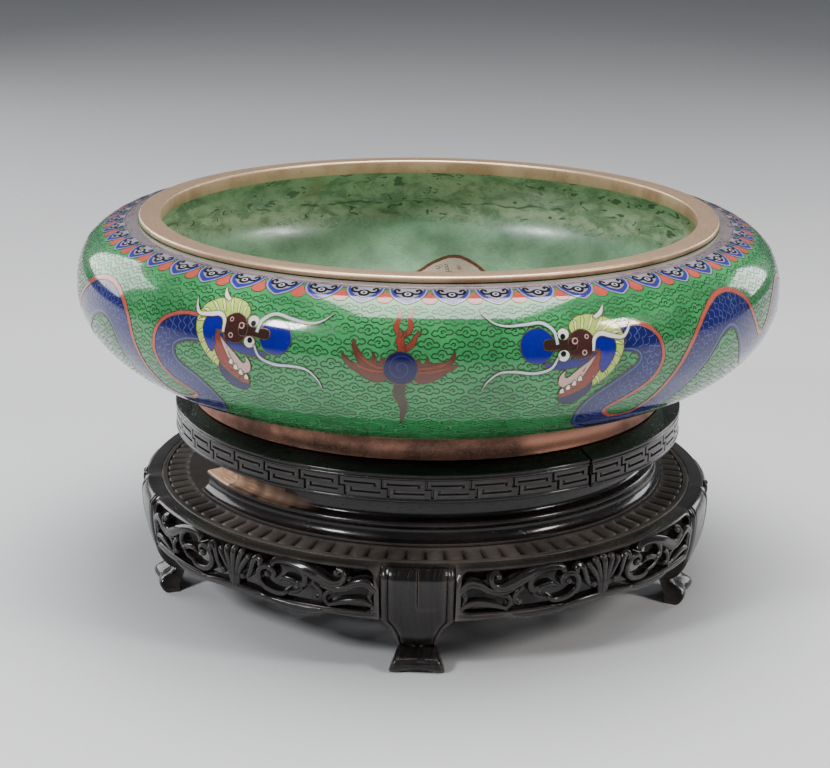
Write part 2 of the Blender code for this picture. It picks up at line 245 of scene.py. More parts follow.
# The fired glaze that all enamel shares: cloudy depth, pin holes and a faint orange peel.
fired_glaze, given, result = new_group(
    "fired_glaze", {"Vector": "Vector", "Colour": "Color", "Cloudiness": "Float", "Pin Holes": "Float"},
    {"Colour": "Color", "Roughness": "Float", "Height": "Float"})
broad = grain_of(given["Vector"], 45.0, 3.0, 0.55)
sandy = grain_of(given["Vector"], 620.0, 2.0, 0.6)
peel = grain_of(given["Vector"], 130.0, 1.0, 0.4)
cells = lay(fired_glaze, "ShaderNodeTexVoronoi", {"Vector": given["Vector"], "Scale": 420.0})
holes = times(spread(cells.outputs["Distance"], 0.10, 0.04), given["Pin Holes"])
holes = times(holes, spread(broad, 0.50, 0.62))
tone = times(spread(broad, 0.35, 0.66, -1.0, 1.0), given["Cloudiness"])
tone = plus(times(plus(tone, spread(sandy, 0.35, 0.65, -0.16, 0.16)), 0.34), 1.0)
toned = lay(fired_glaze, "ShaderNodeHueSaturation", {"Color": given["Colour"], "Value": tone})
feed(result, {"Colour": blend(holes, toned.outputs[0], (0.012, 0.014, 0.010)),
              "Roughness": plus(spread(broad, 0.3, 0.7, 0.05, 0.13), times(holes, 0.5)),
              "Height": minus(times(peel, 0.00006), times(holes, 0.00012))})


def glaze(name, colour, cloudiness, pin_holes, paint=None):
    """Enamel of one colour, or of the colours that the attribute named paint holds."""
    material, shader, place = new_finish(name)
    if paint:
        colour = lay(place.id_data, "ShaderNodeAttribute", attribute_name=paint).outputs["Color"]
    look = dress(shader, fired_glaze, 0.6, {"Vector": place, "Colour": colour, "Cloudiness": cloudiness,
                                            "Pin Holes": pin_holes})
    feed(shader, {"Coat Weight": 0.45, "Coat Roughness": 0.07})
    return material, shader, place, look


ground_enamel = glaze("ground_enamel", (0.031, 0.235, 0.070), 0.55, 0.7)[0]

# Inside, the enamel is thick and pooled under the shoulder, with dark runs, and thin and smooth below.
inside_enamel, shader, place, look = glaze("inside_enamel", (0.235, 0.410, 0.255), 0.7, 0.4)
level = lay(place.id_data, "ShaderNodeSeparateXYZ", {0: place}).outputs["Z"]
pooled = spread(plus(level, times(grain_of(place, 60.0), 0.012)), 0.128, 0.137)
squashed = stretched(place, (1.0, 1.0, 1.9))
runs = grain_of(squashed, 95.0, 5.0, 0.62, 0.4)
dull = blend(spread(runs, 0.40, 0.60), (0.175, 0.255, 0.140), (0.390, 0.460, 0.300))
stains = times(spread(grain_of(place, 34.0, 3.0), 0.58, 0.70), 0.55)
dull = blend(stains, dull, (0.300, 0.250, 0.080))
thick = grain_of(squashed, 120.0, 2.0, 0.5, 1.2)
blots = spread(thick, 0.61, 0.66)
lips = minus(spread(thick, 0.58, 0.605), blots)
dull = blend(times(lips, 0.6, True), dull, (0.450, 0.560, 0.350))
dark_green = (0.040, 0.085, 0.034)
dull = blend(times(blots, 0.85), dull, dark_green)
# The pooled enamel stopped at a wavy line, which fired dark in broken lengths.
run_level = float(np.interp(41.0, inner_down, inner_line[:, 1])) + 0.0045
wavy = plus(level, times(grain_of(place, 48.0, 3.0), 0.009))
off_line = work("ABSOLUTE", minus(wavy, run_level), 0.0)
dark_run = times(spread(off_line, 0.0007, 0.0003), spread(grain_of(place, 70.0, 2.0), 0.48, 0.56))
dull = blend(times(dark_run, 0.8), dull, dark_green)
pool_height = minus(times(times(runs, pooled), 0.0006), times(times(blots, pooled), 0.0003))
feed(shader, {"Base Color": blend(pooled, look["Colour"], dull),
              "Roughness": spread(runs, 0.35, 0.65, 0.26, 0.40),
              "Normal": relieved(plus(pool_height, look["Height"]), 0.7), "Coat Weight": 0.35,
              "Coat Roughness": 0.24})

outside = wall_line(0.0, 46, rim_radius + seam)
inside = wall_line(shell_wall, 40)
lip_radius = mouth_radius + 0.0023
shell_profile = [(0.0, inside[-1][1]), (0.4 * inside[-1][0], inside[-1][1]), *inside[::-1],
                 (lip_radius, inside[0][1]), (lip_radius, outside[0][1]), *outside,
                 (0.5 * outside[-1][0], outside[-1][1]), (0.0, outside[-1][1])]
bowl_shell = close_up(new_piece("bowl_shell", *turned(shell_profile, 256), [ground_enamel, inside_enamel]),
                      50.0)
for face in bowl_shell.data.polygons:
    middle = face.center
    faces_axis = middle.x * face.normal.x + middle.y * face.normal.y < 0.0
    upper_floor = face.normal.z > 0.9 and middle.z < 0.1
    if (faces_axis and middle.z > 0.0945) or upper_floor:
        face.material_index = 1
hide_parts("bowl_body")
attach(bowl_shell, "root")


# The cloud ground.
# Scrolls of thin brass wire are soldered to the shell in staggered rows and ground flush with the enamel.
# They are laid out flat, row by row, and then wrapped on to the wall.
def wire_finish(name, scale, detail, dark, pale, smooth, rough, feeds):
    material, shader, place = new_finish(name)
    dulled = grain_of(place, scale, detail)
    feed(shader, {"Base Color": blend(dulled, dark, pale),
                  "Roughness": spread(dulled, 0.3, 0.7, smooth, rough),
                  **feeds})
    return material


cell_wire = wire_finish("cell_wire", 260.0, 2.0, (0.006, 0.038, 0.014), (0.035, 0.085, 0.028), 0.22, 0.42,
                        {"Metallic": 0.30, "Coat Weight": 0.3, "Coat Roughness": 0.06})
inner_wire = wire_finish("inner_wire", 90.0, 3.0, (0.120, 0.230, 0.120), (0.380, 0.500, 0.330), 0.26, 0.40,
                         {"Coat Weight": 0.2, "Coat Roughness": 0.24})


def smooth_through(points, closed=False, cuts=6):
    """A curve through points, with so many cuts between each two."""
    points = [Vector(point) for point in points]
    count = len(points)
    made = []
    for index in range(count if closed else count - 1):
        one = points[index - 1] if closed or index > 0 else points[0] * 2.0 - points[1]
        two = points[index]
        three = points[(index + 1) % count]
        four = points[(index + 2) % count] if closed or index < count - 2 else points[-1] * 2.0 - points[-2]
        for share in [cut / cuts for cut in range(cuts)]:
            made.append(0.5 * (2.0 * two + (three - one) * share
                               + (2.0 * one - 5.0 * two + 4.0 * three - four) * share ** 2
                               + (3.0 * two - one - 3.0 * three + four) * share ** 3))
    return made if closed else made + [points[-1]]


def strip(path, widths, closed=False):
    """Left and right points of a band along a path, with one width or a width at each point."""
    widths = np.broadcast_to(widths, len(path))
    sides = []
    for index, point in enumerate(path):
        before = path[index - 1] if closed or index > 0 else point
        after = path[(index + 1) % len(path)] if closed or index < len(path) - 1 else point
        heading = (after - before).normalized()
        across = Vector((-heading.y, heading.x)) * (0.5 * widths[index])
        sides.append((point + across, point - across))
    return sides


def flat_band(path, widths, closed=False):
    sides = strip(path, widths, closed)
    return [point for pair in sides for point in pair], net(len(sides), 2, closed)


def arc_round(centre, radius, first, last, count):
    turns = np.radians(np.linspace(first, last, count + 1))
    return [Vector((centre[0] + radius * cos(turn), centre[1] + radius * sin(turn))) for turn in turns]


def cloud_wire(side):
    """One cloud: a small scroll inside a closed, lobed outline."""
    eye = [(0.1 + 0.21 * turn * cos(1.05 * turn), 0.1 + 0.17 * turn * sin(1.05 * turn))
           for turn in (0.7, 1.8, 2.8, 3.8, 4.8, 6.0)]
    outline = smooth_through([(-4.1, 0.35), (-2.9, -0.95), (-1.75, -0.55), (-1.2, -1.65), (0.15, -2.1),
                              (1.45, -1.55), (1.95, -0.55), (3.1, -0.8), (4.1, 0.45), (2.7, 1.1), (1.5, 0.9),
                              (0.7, 1.75), (-0.9, 1.75), (-1.6, 0.95), (-2.9, 1.25)], True, 2)
    points = []
    faces = []
    for path, closed in ((eye, False), (outline, True)):
        band, quads = flat_band([Vector((side * x, y)) for x, y in path], 0.45, closed)
        faces += [[corner + len(points) for corner in quad[::side]] for quad in quads]
        points += band
    return new_piece("cloud_wire", points, faces)


# The rows tree sets shapes out on a flat sheet, with every second row moved by half a pitch.
tree, given, result = new_group(
    "rows_on_a_sheet", {"Columns": "Int", "Rows": "Int", "Length": "Float", "Depth": "Float",
                        "Start": "Float",
                        "Wander": "Float", "Turn": "Float", "Seed": "Int", "First Shape": "Object",
                        "Second Shape": "Object", "Finish": "Material"}, {"Geometry": "Geometry"},
                        "GeometryNodeTree")
rows_on_a_sheet = tree
pitch = work("DIVIDE", given["Length"], given["Columns"])
sheet = lay(tree, "GeometryNodeMeshGrid", {"Size X": minus(given["Length"], pitch), "Size Y": given["Depth"],
                                           "Vertices X": given["Columns"], "Vertices Y": given["Rows"]})
row = work("FLOORED_MODULO", lay(tree, "GeometryNodeInputIndex").outputs[0], given["Rows"])
aside = times(times(work("FLOORED_MODULO", row, 2.0), 0.5), pitch)
middle = plus(given["Start"], times(given["Depth"], 0.5))
stray = lay(tree, "FunctionNodeRandomValue", {0: (-1.0, -0.5, 0.0), 1: (1.0, 0.5, 0.0),
                                              "Seed": given["Seed"]},
            data_type="FLOAT_VECTOR")
scaled = lay(tree, "ShaderNodeVectorMath", {0: stray.outputs[0], "Scale": given["Wander"]}, operation="SCALE")
shift = lay(tree, "ShaderNodeCombineXYZ", {0: aside, 1: middle})
moved = lay(tree, "ShaderNodeVectorMath", {0: scaled.outputs[0], 1: shift.outputs[0]}, operation="ADD")
placed = lay(tree, "GeometryNodeSetPosition", {"Geometry": sheet.outputs[0], "Offset": moved.outputs[0]})
both = lay(tree, "GeometryNodeJoinGeometry")
for label in ("Second Shape", "First Shape"):
    shape = lay(tree, "GeometryNodeObjectInfo", {"Object": given[label], "As Instance": True})
    feed(both, {0: shape.outputs["Geometry"]})
pick = lay(tree, "FunctionNodeRandomValue", {4: 0, 5: 1, "Seed": given["Seed"]}, data_type="INT")
tilt = lay(tree, "FunctionNodeRandomValue", {2: times(given["Turn"], -1.0), 3: given["Turn"],
                                             "Seed": given["Seed"]},
           data_type="FLOAT")
turning = lay(tree, "ShaderNodeCombineXYZ", {2: tilt.outputs[1]})
copies = lay(tree, "GeometryNodeInstanceOnPoints", {
    "Points": placed.outputs[0], "Instance": both.outputs[0], "Pick Instance": True,
    "Instance Index": pick.outputs[2], "Rotation": turning.outputs[0]})
real = lay(tree, "GeometryNodeRealizeInstances", {0: copies.outputs[0]})
coated = lay(tree, "GeometryNodeSetMaterial", {"Geometry": real.outputs[0], "Material": given["Finish"]})
feed(result, {0: coated.outputs[0]})


def numbers_of(items, name, width=3, kind=float):
    """One property of each of a mesh's items, as rows of numbers."""
    kept = np.zeros(len(items) * width, kind)
    items.foreach_get(name, kept)
    return kept.reshape(-1, width)


def wrap_piece(piece, lift, inside=False):
    """Lay a flat mesh of millimetres on the wall, with the wall's own normals."""
    mesh = piece.data
    flat = numbers_of(mesh.vertices, "co")
    points, normals = on_wall(flat, lift + flat[:, 2], inside)
    mesh.vertices.foreach_set("co", points.ravel())
    mesh.update()
    shape = bmesh.new()
    shape.from_mesh(mesh)
    wrong = [face for face in shape.faces
             if face.normal.dot(Vector(normals[face.verts[0].index])) < 0.0]
    bmesh.ops.reverse_faces(shape, faces=wrong)
    shape.to_mesh(mesh)
    shape.free()
    mesh.shade_smooth()
    mesh.normals_split_custom_set_from_vertices([tuple(normal) for normal in normals])
    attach(piece, "root")


def repeated(name, shapes, finish, lift, inside=False, **sizes):
    """A plain mesh made by the rows tree with these inputs, laid on the wall."""
    values = {"Length": around, "First Shape": shapes[0], "Second Shape": shapes[-1], "Finish": finish,
              **sizes}
    carrier = new_piece(name + "_rows", [], [])
    modifier = carrier.modifiers.new("rows", "NODES")
    modifier.node_group = rows_on_a_sheet
    for item in rows_on_a_sheet.interface.items_tree:
        if item.in_out == "INPUT":
            modifier[item.identifier] = values[item.name]
    bpy.context.view_layer.update()
    graph = bpy.context.evaluated_depsgraph_get()
    mesh = bpy.data.meshes.new_from_object(carrier.evaluated_get(graph), depsgraph=graph)
    carrier.modifiers.remove(modifier)
    bpy.data.objects.remove(carrier)
    wrap_piece(show(name, mesh), lift, inside)


def put_away(*shapes):
    for shape in shapes:
        bpy.data.objects.remove(shape)


clouds = (cloud_wire(1), cloud_wire(-1))
repeated("outer_clouds", clouds, cell_wire, 0.05, Columns=104, Rows=22, Depth=92.0, Start=18.5, Wander=0.35,
         Turn=0.10, Seed=4)
repeated("inner_clouds", clouds, inner_wire, 0.03, True, Columns=84, Rows=9, Depth=38.0, Start=62.0,
         Wander=0.5,
         Turn=0.15, Seed=9)
put_away(*clouds)


# The inlaid picture.
# Cells of coloured enamel are fenced by the same brass wire: two dragons chase a flaming pearl.
# Each figure is drawn flat in its own millimetres, filled with small faces and wrapped on to the wall.
figure_enamel = glaze("figure_enamel", (0.031, 0.235, 0.070), 0.35, 0.8, "paint")[0]
fence_wire = wire_finish("fence_wire", 300.0, 2.0, (0.050, 0.034, 0.022), (0.230, 0.150, 0.080), 0.20, 0.40,
                         {"Metallic": 0.7})
white = (0.700, 0.690, 0.620)
sky = (0.420, 0.560, 0.600)
cobalt = (0.004, 0.005, 0.210)
navy = (0.005, 0.006, 0.060)
jaw_blue = (0.014, 0.016, 0.150)
body_blue = (0.008, 0.010, 0.110)
belly_blue = (0.045, 0.085, 0.220)
scale_blue = (0.090, 0.105, 0.330)
pale_blue = (0.070, 0.090, 0.330)
maroon = (0.045, 0.014, 0.012)
brown = (0.030, 0.012, 0.009)
coral = (0.440, 0.075, 0.050)
rust = (0.210, 0.036, 0.020)
shaded_flame_red = (0.105, 0.030, 0.020)
flesh = (0.520, 0.330, 0.290)
lime = (0.400, 0.560, 0.100)
lemon = (0.620, 0.700, 0.260)
black = (0.006, 0.006, 0.008)
lilac = (0.250, 0.235, 0.330)


def new_drawing():
    return {"points": [], "lift": [], "paint": [], "faces": [], "wire": []}


def add_flat(drawing, points, faces, paint, layer, wire=False):
    """Add faces to a drawing, in one paint or a paint at each point; a higher layer lies on top."""
    first = len(drawing["points"])
    drawing["points"] += [tuple(point[:2]) for point in points]
    drawing["lift"] += [0.08 + 0.028 * layer] * len(points)
    drawing["paint"] += paint if isinstance(paint, list) else [paint] * len(points)
    drawing["faces"] += [tuple(first + corner for corner in face) for face in faces]
    drawing["wire"] += [wire] * len(faces)


def inside_loop(spot, loop):
    found = False
    for one, two in zip(loop, loop[1:] + loop[:1]):
        if (one.y > spot.y) != (two.y > spot.y):
            found ^= one.x + (spot.y - one.y) / (two.y - one.y) * (two.x - one.x) > spot.x
    return found


def middle_of(spots, face):
    return sum((spots[corner] for corner in face), Vector((0.0, 0.0))) / len(face)


def fill(drawing, outline, paint, layer, fence=0.34, cell=2.4):
    """Fill a closed outline with small triangles, and fence it with wire."""
    loop = [Vector(point) for point in outline]
    low_x, low_y = np.min(loop, axis=0)
    high_x, high_y = np.max(loop, axis=0)
    extra = []
    for row in range(int((high_y - low_y) / cell) + 1):
        for column in range(int((high_x - low_x) / cell) + 1):
            spot = Vector((low_x + (column + 0.5) * cell, low_y + (row + 0.5) * cell))
            near = min((spot - point).length_squared for point in loop)
            if near > 0.25 * cell * cell and inside_loop(spot, loop):
                extra.append(spot)
    edges = [(index, (index + 1) % len(loop)) for index in range(len(loop))]
    spots, _, faces = delaunay_2d_cdt(loop + extra, edges, [], 0, 1e-4)[:3]
    add_flat(drawing, spots, [face for face in faces if inside_loop(middle_of(spots, face), loop)], paint,
             layer)
    if fence:
        fence_in(drawing, loop, fence, layer + 0.6, True)


def fence_in(drawing, path, width, layer, closed=False):
    add_flat(drawing, *flat_band(path, width, closed), (0.1, 0.07, 0.04), layer, True)


def spaced(values, count):
    return np.interp(np.linspace(0.0, 1.0, count), np.linspace(0.0, 1.0, len(values)), values)


def stroke(drawing, path, widths, paint, layer, cuts=6, fence=0.3):
    """A tapering line of enamel through a few points, fenced on both sides."""
    line = smooth_through(path, False, cuts)
    widths = spaced(widths, len(line))
    add_flat(drawing, *flat_band(line, widths), paint, layer)
    if fence:
        left, right = zip(*strip(line, widths))
        fence_in(drawing, left + right[::-1], fence, layer + 0.5, True)


def blob(drawing, centre, wide, tall, paint, layer, count=20, fence=0.3):
    turns = [2.0 * pi * index / count for index in range(count)]
    outline = [(centre[0] + wide * cos(turn), centre[1] + tall * sin(turn)) for turn in turns]
    fill(drawing, outline, paint, layer, fence)


def paint_points(piece, paints):
    layer = piece.data.color_attributes.new("paint", "FLOAT_COLOR", "POINT")
    layer.data.foreach_set("color", np.array([(*paint, 1.0) for paint in paints], np.float32).ravel())


def inlay(name, drawing, inside=False):
    """Turn a drawing into a piece of enamel and wire on the wall."""
    points = [(*point, lift) for point, lift in zip(drawing["points"], drawing["lift"])]
    piece = new_piece(name, points, drawing["faces"], [figure_enamel, fence_wire])
    paint_points(piece, drawing["paint"])
    piece.data.polygons.foreach_set("material_index", [int(wire) for wire in drawing["wire"]])
    wrap_piece(piece, 0.0, inside)


def at(azimuth, down):
    return Vector((azimuth * around / 360.0, down))


def serpent(drawing, middle, widths, spine_last=False):
    """A long body along a curve: blue scales, a red spine on its outer side and a pale belly line."""
    line = smooth_through([at(*point) for point in middle], False, 12)
    gone = travelled(line)
    count = int(gone[-1] / 1.3)
    even = np.linspace(0.0, gone[-1], count)
    line = [Vector(spot) for spot in zip(*(np.interp(even, gone, column) for column in np.array(line).T))]
    wide = spaced(widths, count)
    sides = [side[::-1] if spine_last else side for side in strip(line, wide)]
    sides = [(spine.lerp(belly, -0.05), spine.lerp(belly, 1.20)) for spine, belly in sides]

    def lane(*shares):
        return [spine.lerp(belly, share) for spine, belly in sides for share in shares]

    shares = [place / 6 for place in range(7)]
    # The body's blue is painted darker towards both edges, as shade on a round body.
    round_body_shade = [tuple((1.0 - 0.35 * abs(share - 0.45)) * part for part in body_blue) for share in shares]
    add_flat(drawing, lane(*shares), net(count, 7), round_body_shade * count, 0)
    tips = [spine.lerp(belly, -0.02) + (spine - belly).normalized() * (0.4 * notch * (width / 11.0) ** 0.5)
            for (spine, belly), width, notch in zip(sides, wide,
                                                    0.75 + 0.45 * abs(np.sin(np.arange(count) * pi / 4)))]
    fin = [point for pair in zip(tips, lane(0.09)) for point in pair]
    add_flat(drawing, fin, net(count, 2), coral, 1)
    add_flat(drawing, lane(0.88, 0.94), net(count, 2), belly_blue, 1)
    for edge, width in ((tips, 0.30), (lane(0.09), 0.34), (lane(1.0), 0.36)):
        fence_in(drawing, edge, width, 2)
    # Scales are short bowed wires in staggered rows.
    for row, position in enumerate(np.arange(3.0, gone[-1] - 3.0, 2.3)):
        index = int(position / gone[-1] * (count - 1))
        spine, belly = sides[index]
        heading = (line[min(index + 1, count - 1)] - line[index - 1]).normalized()
        cells = max(2, round(wide[index] * 0.68 / 2.6))
        for cell in range(cells):
            share = 0.14 + 0.66 * (cell + 0.5 * (row % 2)) / cells
            if share <= 0.76:
                bow = [spine.lerp(belly, share + (0.165 * step - 0.33) / cells)
                       + heading * (1.5 * sin(pi * step / 4))
                       for step in range(5)]
                add_flat(drawing, *flat_band(bow, 0.26), scale_blue, 1.2)


def dragon_head(drawing, centre, facing, pitch):
    """A head drawn once in its own millimetres, with its snout to the right and its jaw open."""
    swing = radians(pitch)
    middle = at(*centre)

    def place(x, y):
        return middle + Vector((facing * (x * cos(swing) - y * sin(swing)), x * sin(swing) + y * cos(swing)))

    def form(points, paint, layer, cuts=5, cell=2.4):
        fill(drawing, smooth_through([place(*point) for point in points], True, cuts), paint, layer,
             cell=cell)

    def thread(points, widths, paint, layer, cuts=6, fence=0.3):
        stroke(drawing, [place(*point) for point in points], widths, paint, layer, cuts, fence)

    def dot(x, y, wide, tall, paint, layer, count, fence=0.0):
        blob(drawing, place(x, y), wide, tall, paint, layer, count, fence)

    # The mane: a fan of pale locks behind the brow and cheek.
    form([(-3, 17.5), (-9.5, 15), (-14.8, 10), (-18.2, 3), (-17.5, -4), (-13, -8.6), (-6.5, -10.8),
          (0.5, -10.2), (4.4, -6.5), (2, -2), (-6, 2), (-8.5, 8), (-4, 13)], lime, 3)
    for x, y, tip_x, tip_y in ((-6, 12.5, -9.2, 15.8), (-8, 9.5, -12.4, 12.9), (-9.8, 6.8, -15.2, 9.2),
                               (-11, 4, -17, 5.6), (-11.5, 0.8, -18, 1.2), (-11, -2, -17.4, -3.6),
                               (-9, -4, -14.4, -7.6), (-6.4, -4.6, -10.2, -9.6), (-3.4, -5, -5.9, -10.6),
                               (-0.6, -5, -1.6, -10.6), (1.8, -4.6, 2.4, -8.8)):
        bend = (0.5 * (x + tip_x) - 0.5, 0.5 * (y + tip_y) - 0.9)
        thread([(x, y), bend, (tip_x, tip_y)], [0.8, 1.3, 0.35], lemon, 4, 4, 0.24)
    # The lower jaw, the mouth's red lining, the pale tongue and the teeth.
    form([(-5.5, 14), (-1, 16.5), (4.5, 19.5), (6.4, 22), (4, 24.5), (0, 24.6), (-3.6, 22), (-6.4, 18)],
         navy, 4)
    form([(-8.6, 2.6), (-5, 3.6), (-2.4, 9), (1, 14), (6.2, 17.6), (6, 21.2), (1.5, 20), (-4.5, 16),
          (-8.4, 10), (-9.6, 5.6)], rust, 5)
    form([(-6.4, 4.6), (-3.4, 6.8), (0.6, 9.6), (4.2, 12.6), (5.6, 12), (5.4, 9.9), (7.6, 12.2), (7.4, 15.6),
          (4, 17), (0.4, 14.8), (-2.6, 11.2)], flesh, 6)
    for x, y in ((-0.8, 13.4), (1.2, 15.2), (3.3, 16.9), (5.5, 18.5)):
        form([(x - 0.9, y + 0.7), (x - 0.7, y - 0.7), (x + 0.1, y - 1.5), (x + 0.9, y - 0.5),
              (x + 0.8, y + 0.9)],
             white, 7, 3)
    # The upper jaw and the round nose.
    form([(-7, 3.5), (-3, 4), (3, 5.6), (9, 6.5), (14, 7.4), (12, 9.4), (6, 9.4), (0, 8.6), (-4, 6.5)],
         jaw_blue, 5)
    dot(17, 0.9, 6.5, 6.5, cobalt, 6, 30, 0.3)
    # The cheek, the brown bridge and the brow dome with its warts.
    form([(-6.6, -2.6), (-9.5, -3.8), (-13.2, -2), (-14.8, 2), (-13.4, 6.8), (-9.8, 11.2), (-8.2, 8),
          (-8.4, 3.5), (-6, 1.8)], cobalt, 6)
    form([(2, -1.6), (8, -1.2), (13.6, -1.4), (14.8, 0.6), (13.4, 2.4), (7.5, 2.2), (2, 2.6)], brown, 8,
         cell=1.1)
    dot(-0.2, 0.4, 5.4, 5.6, maroon, 8, 26, 0.3)
    for x, y, size in ((2.4, -0.9, 1.25), (-1.6, 3.4, 1.05), (-2.4, -2.4, 0.9)):
        dot(x, y, size, size, flesh, 9, 12)
        dot(x, y, 0.6 * size, 0.6 * size, maroon, 10, 10)
    # Two round eyes.
    for x, y, gaze in ((7, -3.4, 0.9), (6.7, 4.4, -0.7)):
        dot(x, y, 2.35, 2.2, white, 10, 18, 0.3)
        dot(x + 0.2, y + gaze, 1.1, 1.1, black, 11, 12)
    # The horn, the small ear and the long whiskers.
    thread([(-5.2, 3), (-5.6, -1.6), (-8.4, -3.4), (-12.8, -2.4), (-17.6, -1.8), (-20, -4), (-21.6, -7.2)],
           [1.2, 1.7, 2.0, 1.9, 1.6, 1.2, 0.4], white, 9)
    thread([(-6.6, -9.4), (-9.6, -11.2), (-12, -14.6)], [1.6, 1.9, 0.4], white, 5)
    thread([(9.2, 0.4), (10.6, -4.6), (15.2, -7.6), (21.6, -6.9), (28.6, -6.2), (33.6, -7.4), (38, -11.2)],
           [1.3, 1.5, 1.5, 1.3, 1.1, 0.9, 0.4], sky, 9)
    thread([(8.6, 4.8), (11.4, 9.2), (17.6, 10.9), (25, 10.4), (30.6, 11), (34.6, 14.2), (36.4, 17.6)],
           [1.0, 1.2, 1.3, 1.2, 1.0, 0.8, 0.4], sky, 9)


def dragon_legs(drawing, facing, limbs):
    """Short limbs with three pale claws, on the sides that the photograph doesn't show."""
    for hip, knee, paw in limbs:
        end = at(*paw)
        stroke(drawing, [at(*hip), at(*knee), end], [6.0, 4.6, 3.4], body_blue, 1)
        blob(drawing, end, 2.5, 2.2, pale_blue, 2, 14)
        for swing in (-50.0, 0.0, 50.0):
            reach = Vector((facing * cos(radians(swing)), sin(radians(swing))))
            side = Vector((-reach.y, reach.x))
            stroke(drawing, [end + reach * 1.6, end + reach * 4.2 + side * 0.7, end + reach * 6.6],
                   [1.4, 1.2, 0.3],
                   white, 3, 4)


def tail_tuft(drawing, tip, facing):
    root = at(*tip)
    for rise, length in ((-7.0, 9.0), (0.0, 13.0), (7.0, 9.0)):
        stroke(drawing, [root - Vector((facing * 3.0, 0.0)),
                         root + Vector((facing * 0.5 * length, 0.7 * rise)),
                         root + Vector((facing * length, 0.6 * rise))], [2.4, 2.8, 0.4], lime, 1)


left_dragon = new_drawing()
serpent(left_dragon, [(-34, 33.2), (-37.8, 33.9), (-40.6, 36.6), (-42.1, 41), (-42.3, 48), (-40.8, 54.5),
                      (-37.6, 60.5), (-36.8, 68), (-40, 76), (-45.6, 79), (-49.4, 72), (-50.8, 60),
                      (-51.9, 48), (-53.8, 38), (-58, 33), (-63, 35), (-68.5, 43.5), (-74, 53.5),
                      (-80, 58.5), (-86.5, 54), (-92, 42), (-99, 34), (-107, 37), (-114, 48), (-121, 58),
                      (-130, 58), (-140, 50), (-150, 46), (-160, 50)],
        [8.0, 10.5, 12.0, 12.5, 12.5, 12.0, 12.0, 11.5, 11.0, 10.0, 9.0, 7.0, 4.5, 1.6])
dragon_head(left_dragon, (-28.6, 31.0), 1.0, 3.0)
dragon_legs(left_dragon, 1.0, [((-96, 38), (-93, 26), (-88, 24)), ((-124, 58), (-121, 70), (-115, 72)),
                               ((-84, 57), (-81, 72), (-76, 74))])
tail_tuft(left_dragon, (-160.0, 50.0), -1.0)
inlay("left_dragon", left_dragon)

right_dragon = new_drawing()
serpent(right_dragon, [(25, 33.2), (29.7, 32.4), (32.7, 35.4), (33.9, 41.8), (32.7, 48.4), (29.1, 54.8),
                       (26, 61.5), (26.2, 70), (30, 77.5), (35.2, 77), (38.2, 67.5), (40.4, 56.5), (43, 46),
                       (46.6, 35), (50.8, 30.2), (54.6, 33.5), (57.2, 42.5), (60, 51), (63.6, 54.2),
                       (67.2, 48.5), (70.4, 41), (75, 37.6), (80, 42), (85, 52.5), (91, 58.5), (97, 53),
                       (102, 42), (108.5, 35), (115.5, 40), (121.5, 51.5), (128, 58), (136, 54), (145, 47),
                       (154, 47), (162, 52)],
        [8.0, 10.0, 11.5, 12.0, 12.5, 12.5, 12.0, 12.0, 11.5, 11.0, 10.0, 9.0, 7.0, 4.5, 1.6], True)
dragon_head(right_dragon, (21.7, 33.4), -1.0, -3.5)
dragon_legs(right_dragon, -1.0, [((99, 46), (95.5, 32), (90, 28)), ((130, 57), (127, 69), (121, 72)),
                                 ((84, 52), (81, 68), (76, 72))])
tail_tuft(right_dragon, (162.0, 52.0), 1.0)
inlay("right_dragon", right_dragon)

pearl = new_drawing()


def flames(tongues, paint):
    for points, widths in tongues:
        stroke(pearl, [at(*point) for point in points], widths, paint, 1)


# Above the pearl, one stem parts into two horns with a small curl beside it.
flames([([(-3.9, 36), (-3.85, 32.8), (-4.15, 30.6), (-3.75, 28.2), (-3.7, 27.2)], [3.6, 2.8, 2.8, 3.0, 1.6]),
        ([(-3.75, 28.6), (-4.45, 27.4), (-4.72, 25), (-4.3, 21.6), (-4.42, 17.6)], [2.0, 2.0, 2.0, 1.7, 0.4]),
        ([(-3.65, 28.6), (-2.9, 27.2), (-2.65, 24.8), (-2.85, 21.4), (-2.15, 17.6)],
         [2.0, 2.0, 1.9, 1.7, 0.4]),
        ([(-3.5, 33.6), (-2.75, 32.6), (-2.2, 31), (-1.9, 29), (-1.1, 26.8)], [2.2, 2.2, 1.9, 1.4, 0.4])],
        rust)
# On each side a mass of flame, its red painted darker as shade, throws thin tongues outwards and up.
for mass in ([(-5.9, 39), (-6.6, 36.8), (-6.9, 39), (-7.3, 37.6), (-7.8, 34.8), (-8, 38.2), (-8.7, 37.7),
              (-9.6, 35), (-10.1, 33.2), (-10.7, 30.4), (-10.7, 34.2), (-10.2, 37.4), (-9.7, 39.5),
              (-10.7, 39.2), (-11.4, 37.6), (-12.3, 35.8), (-11.9, 38.8), (-11.1, 41), (-10.2, 42.6),
              (-9.2, 44.2), (-7.8, 46.2), (-6.6, 46), (-5.8, 44.5)],
             [(-2, 39), (-1.4, 36.9), (-1, 39.1), (-0.5, 38), (-0.2, 36.4), (0.2, 38.6), (1.1, 38.5),
              (2.2, 38), (3, 36.4), (3.5, 33.8), (3.6, 37.2), (3, 39.3), (4, 38.9), (3.4, 41), (2.5, 42),
              (1.9, 43.4), (0.9, 44.8), (-0.4, 46.2), (-1.4, 46.2), (-2, 44.6)]):
    fill(pearl, smooth_through([at(*point) for point in mass], True, 3), shaded_flame_red, 1, 0.3, 1.8)
tongue = [0.9, 1.3, 1.2, 0.3]
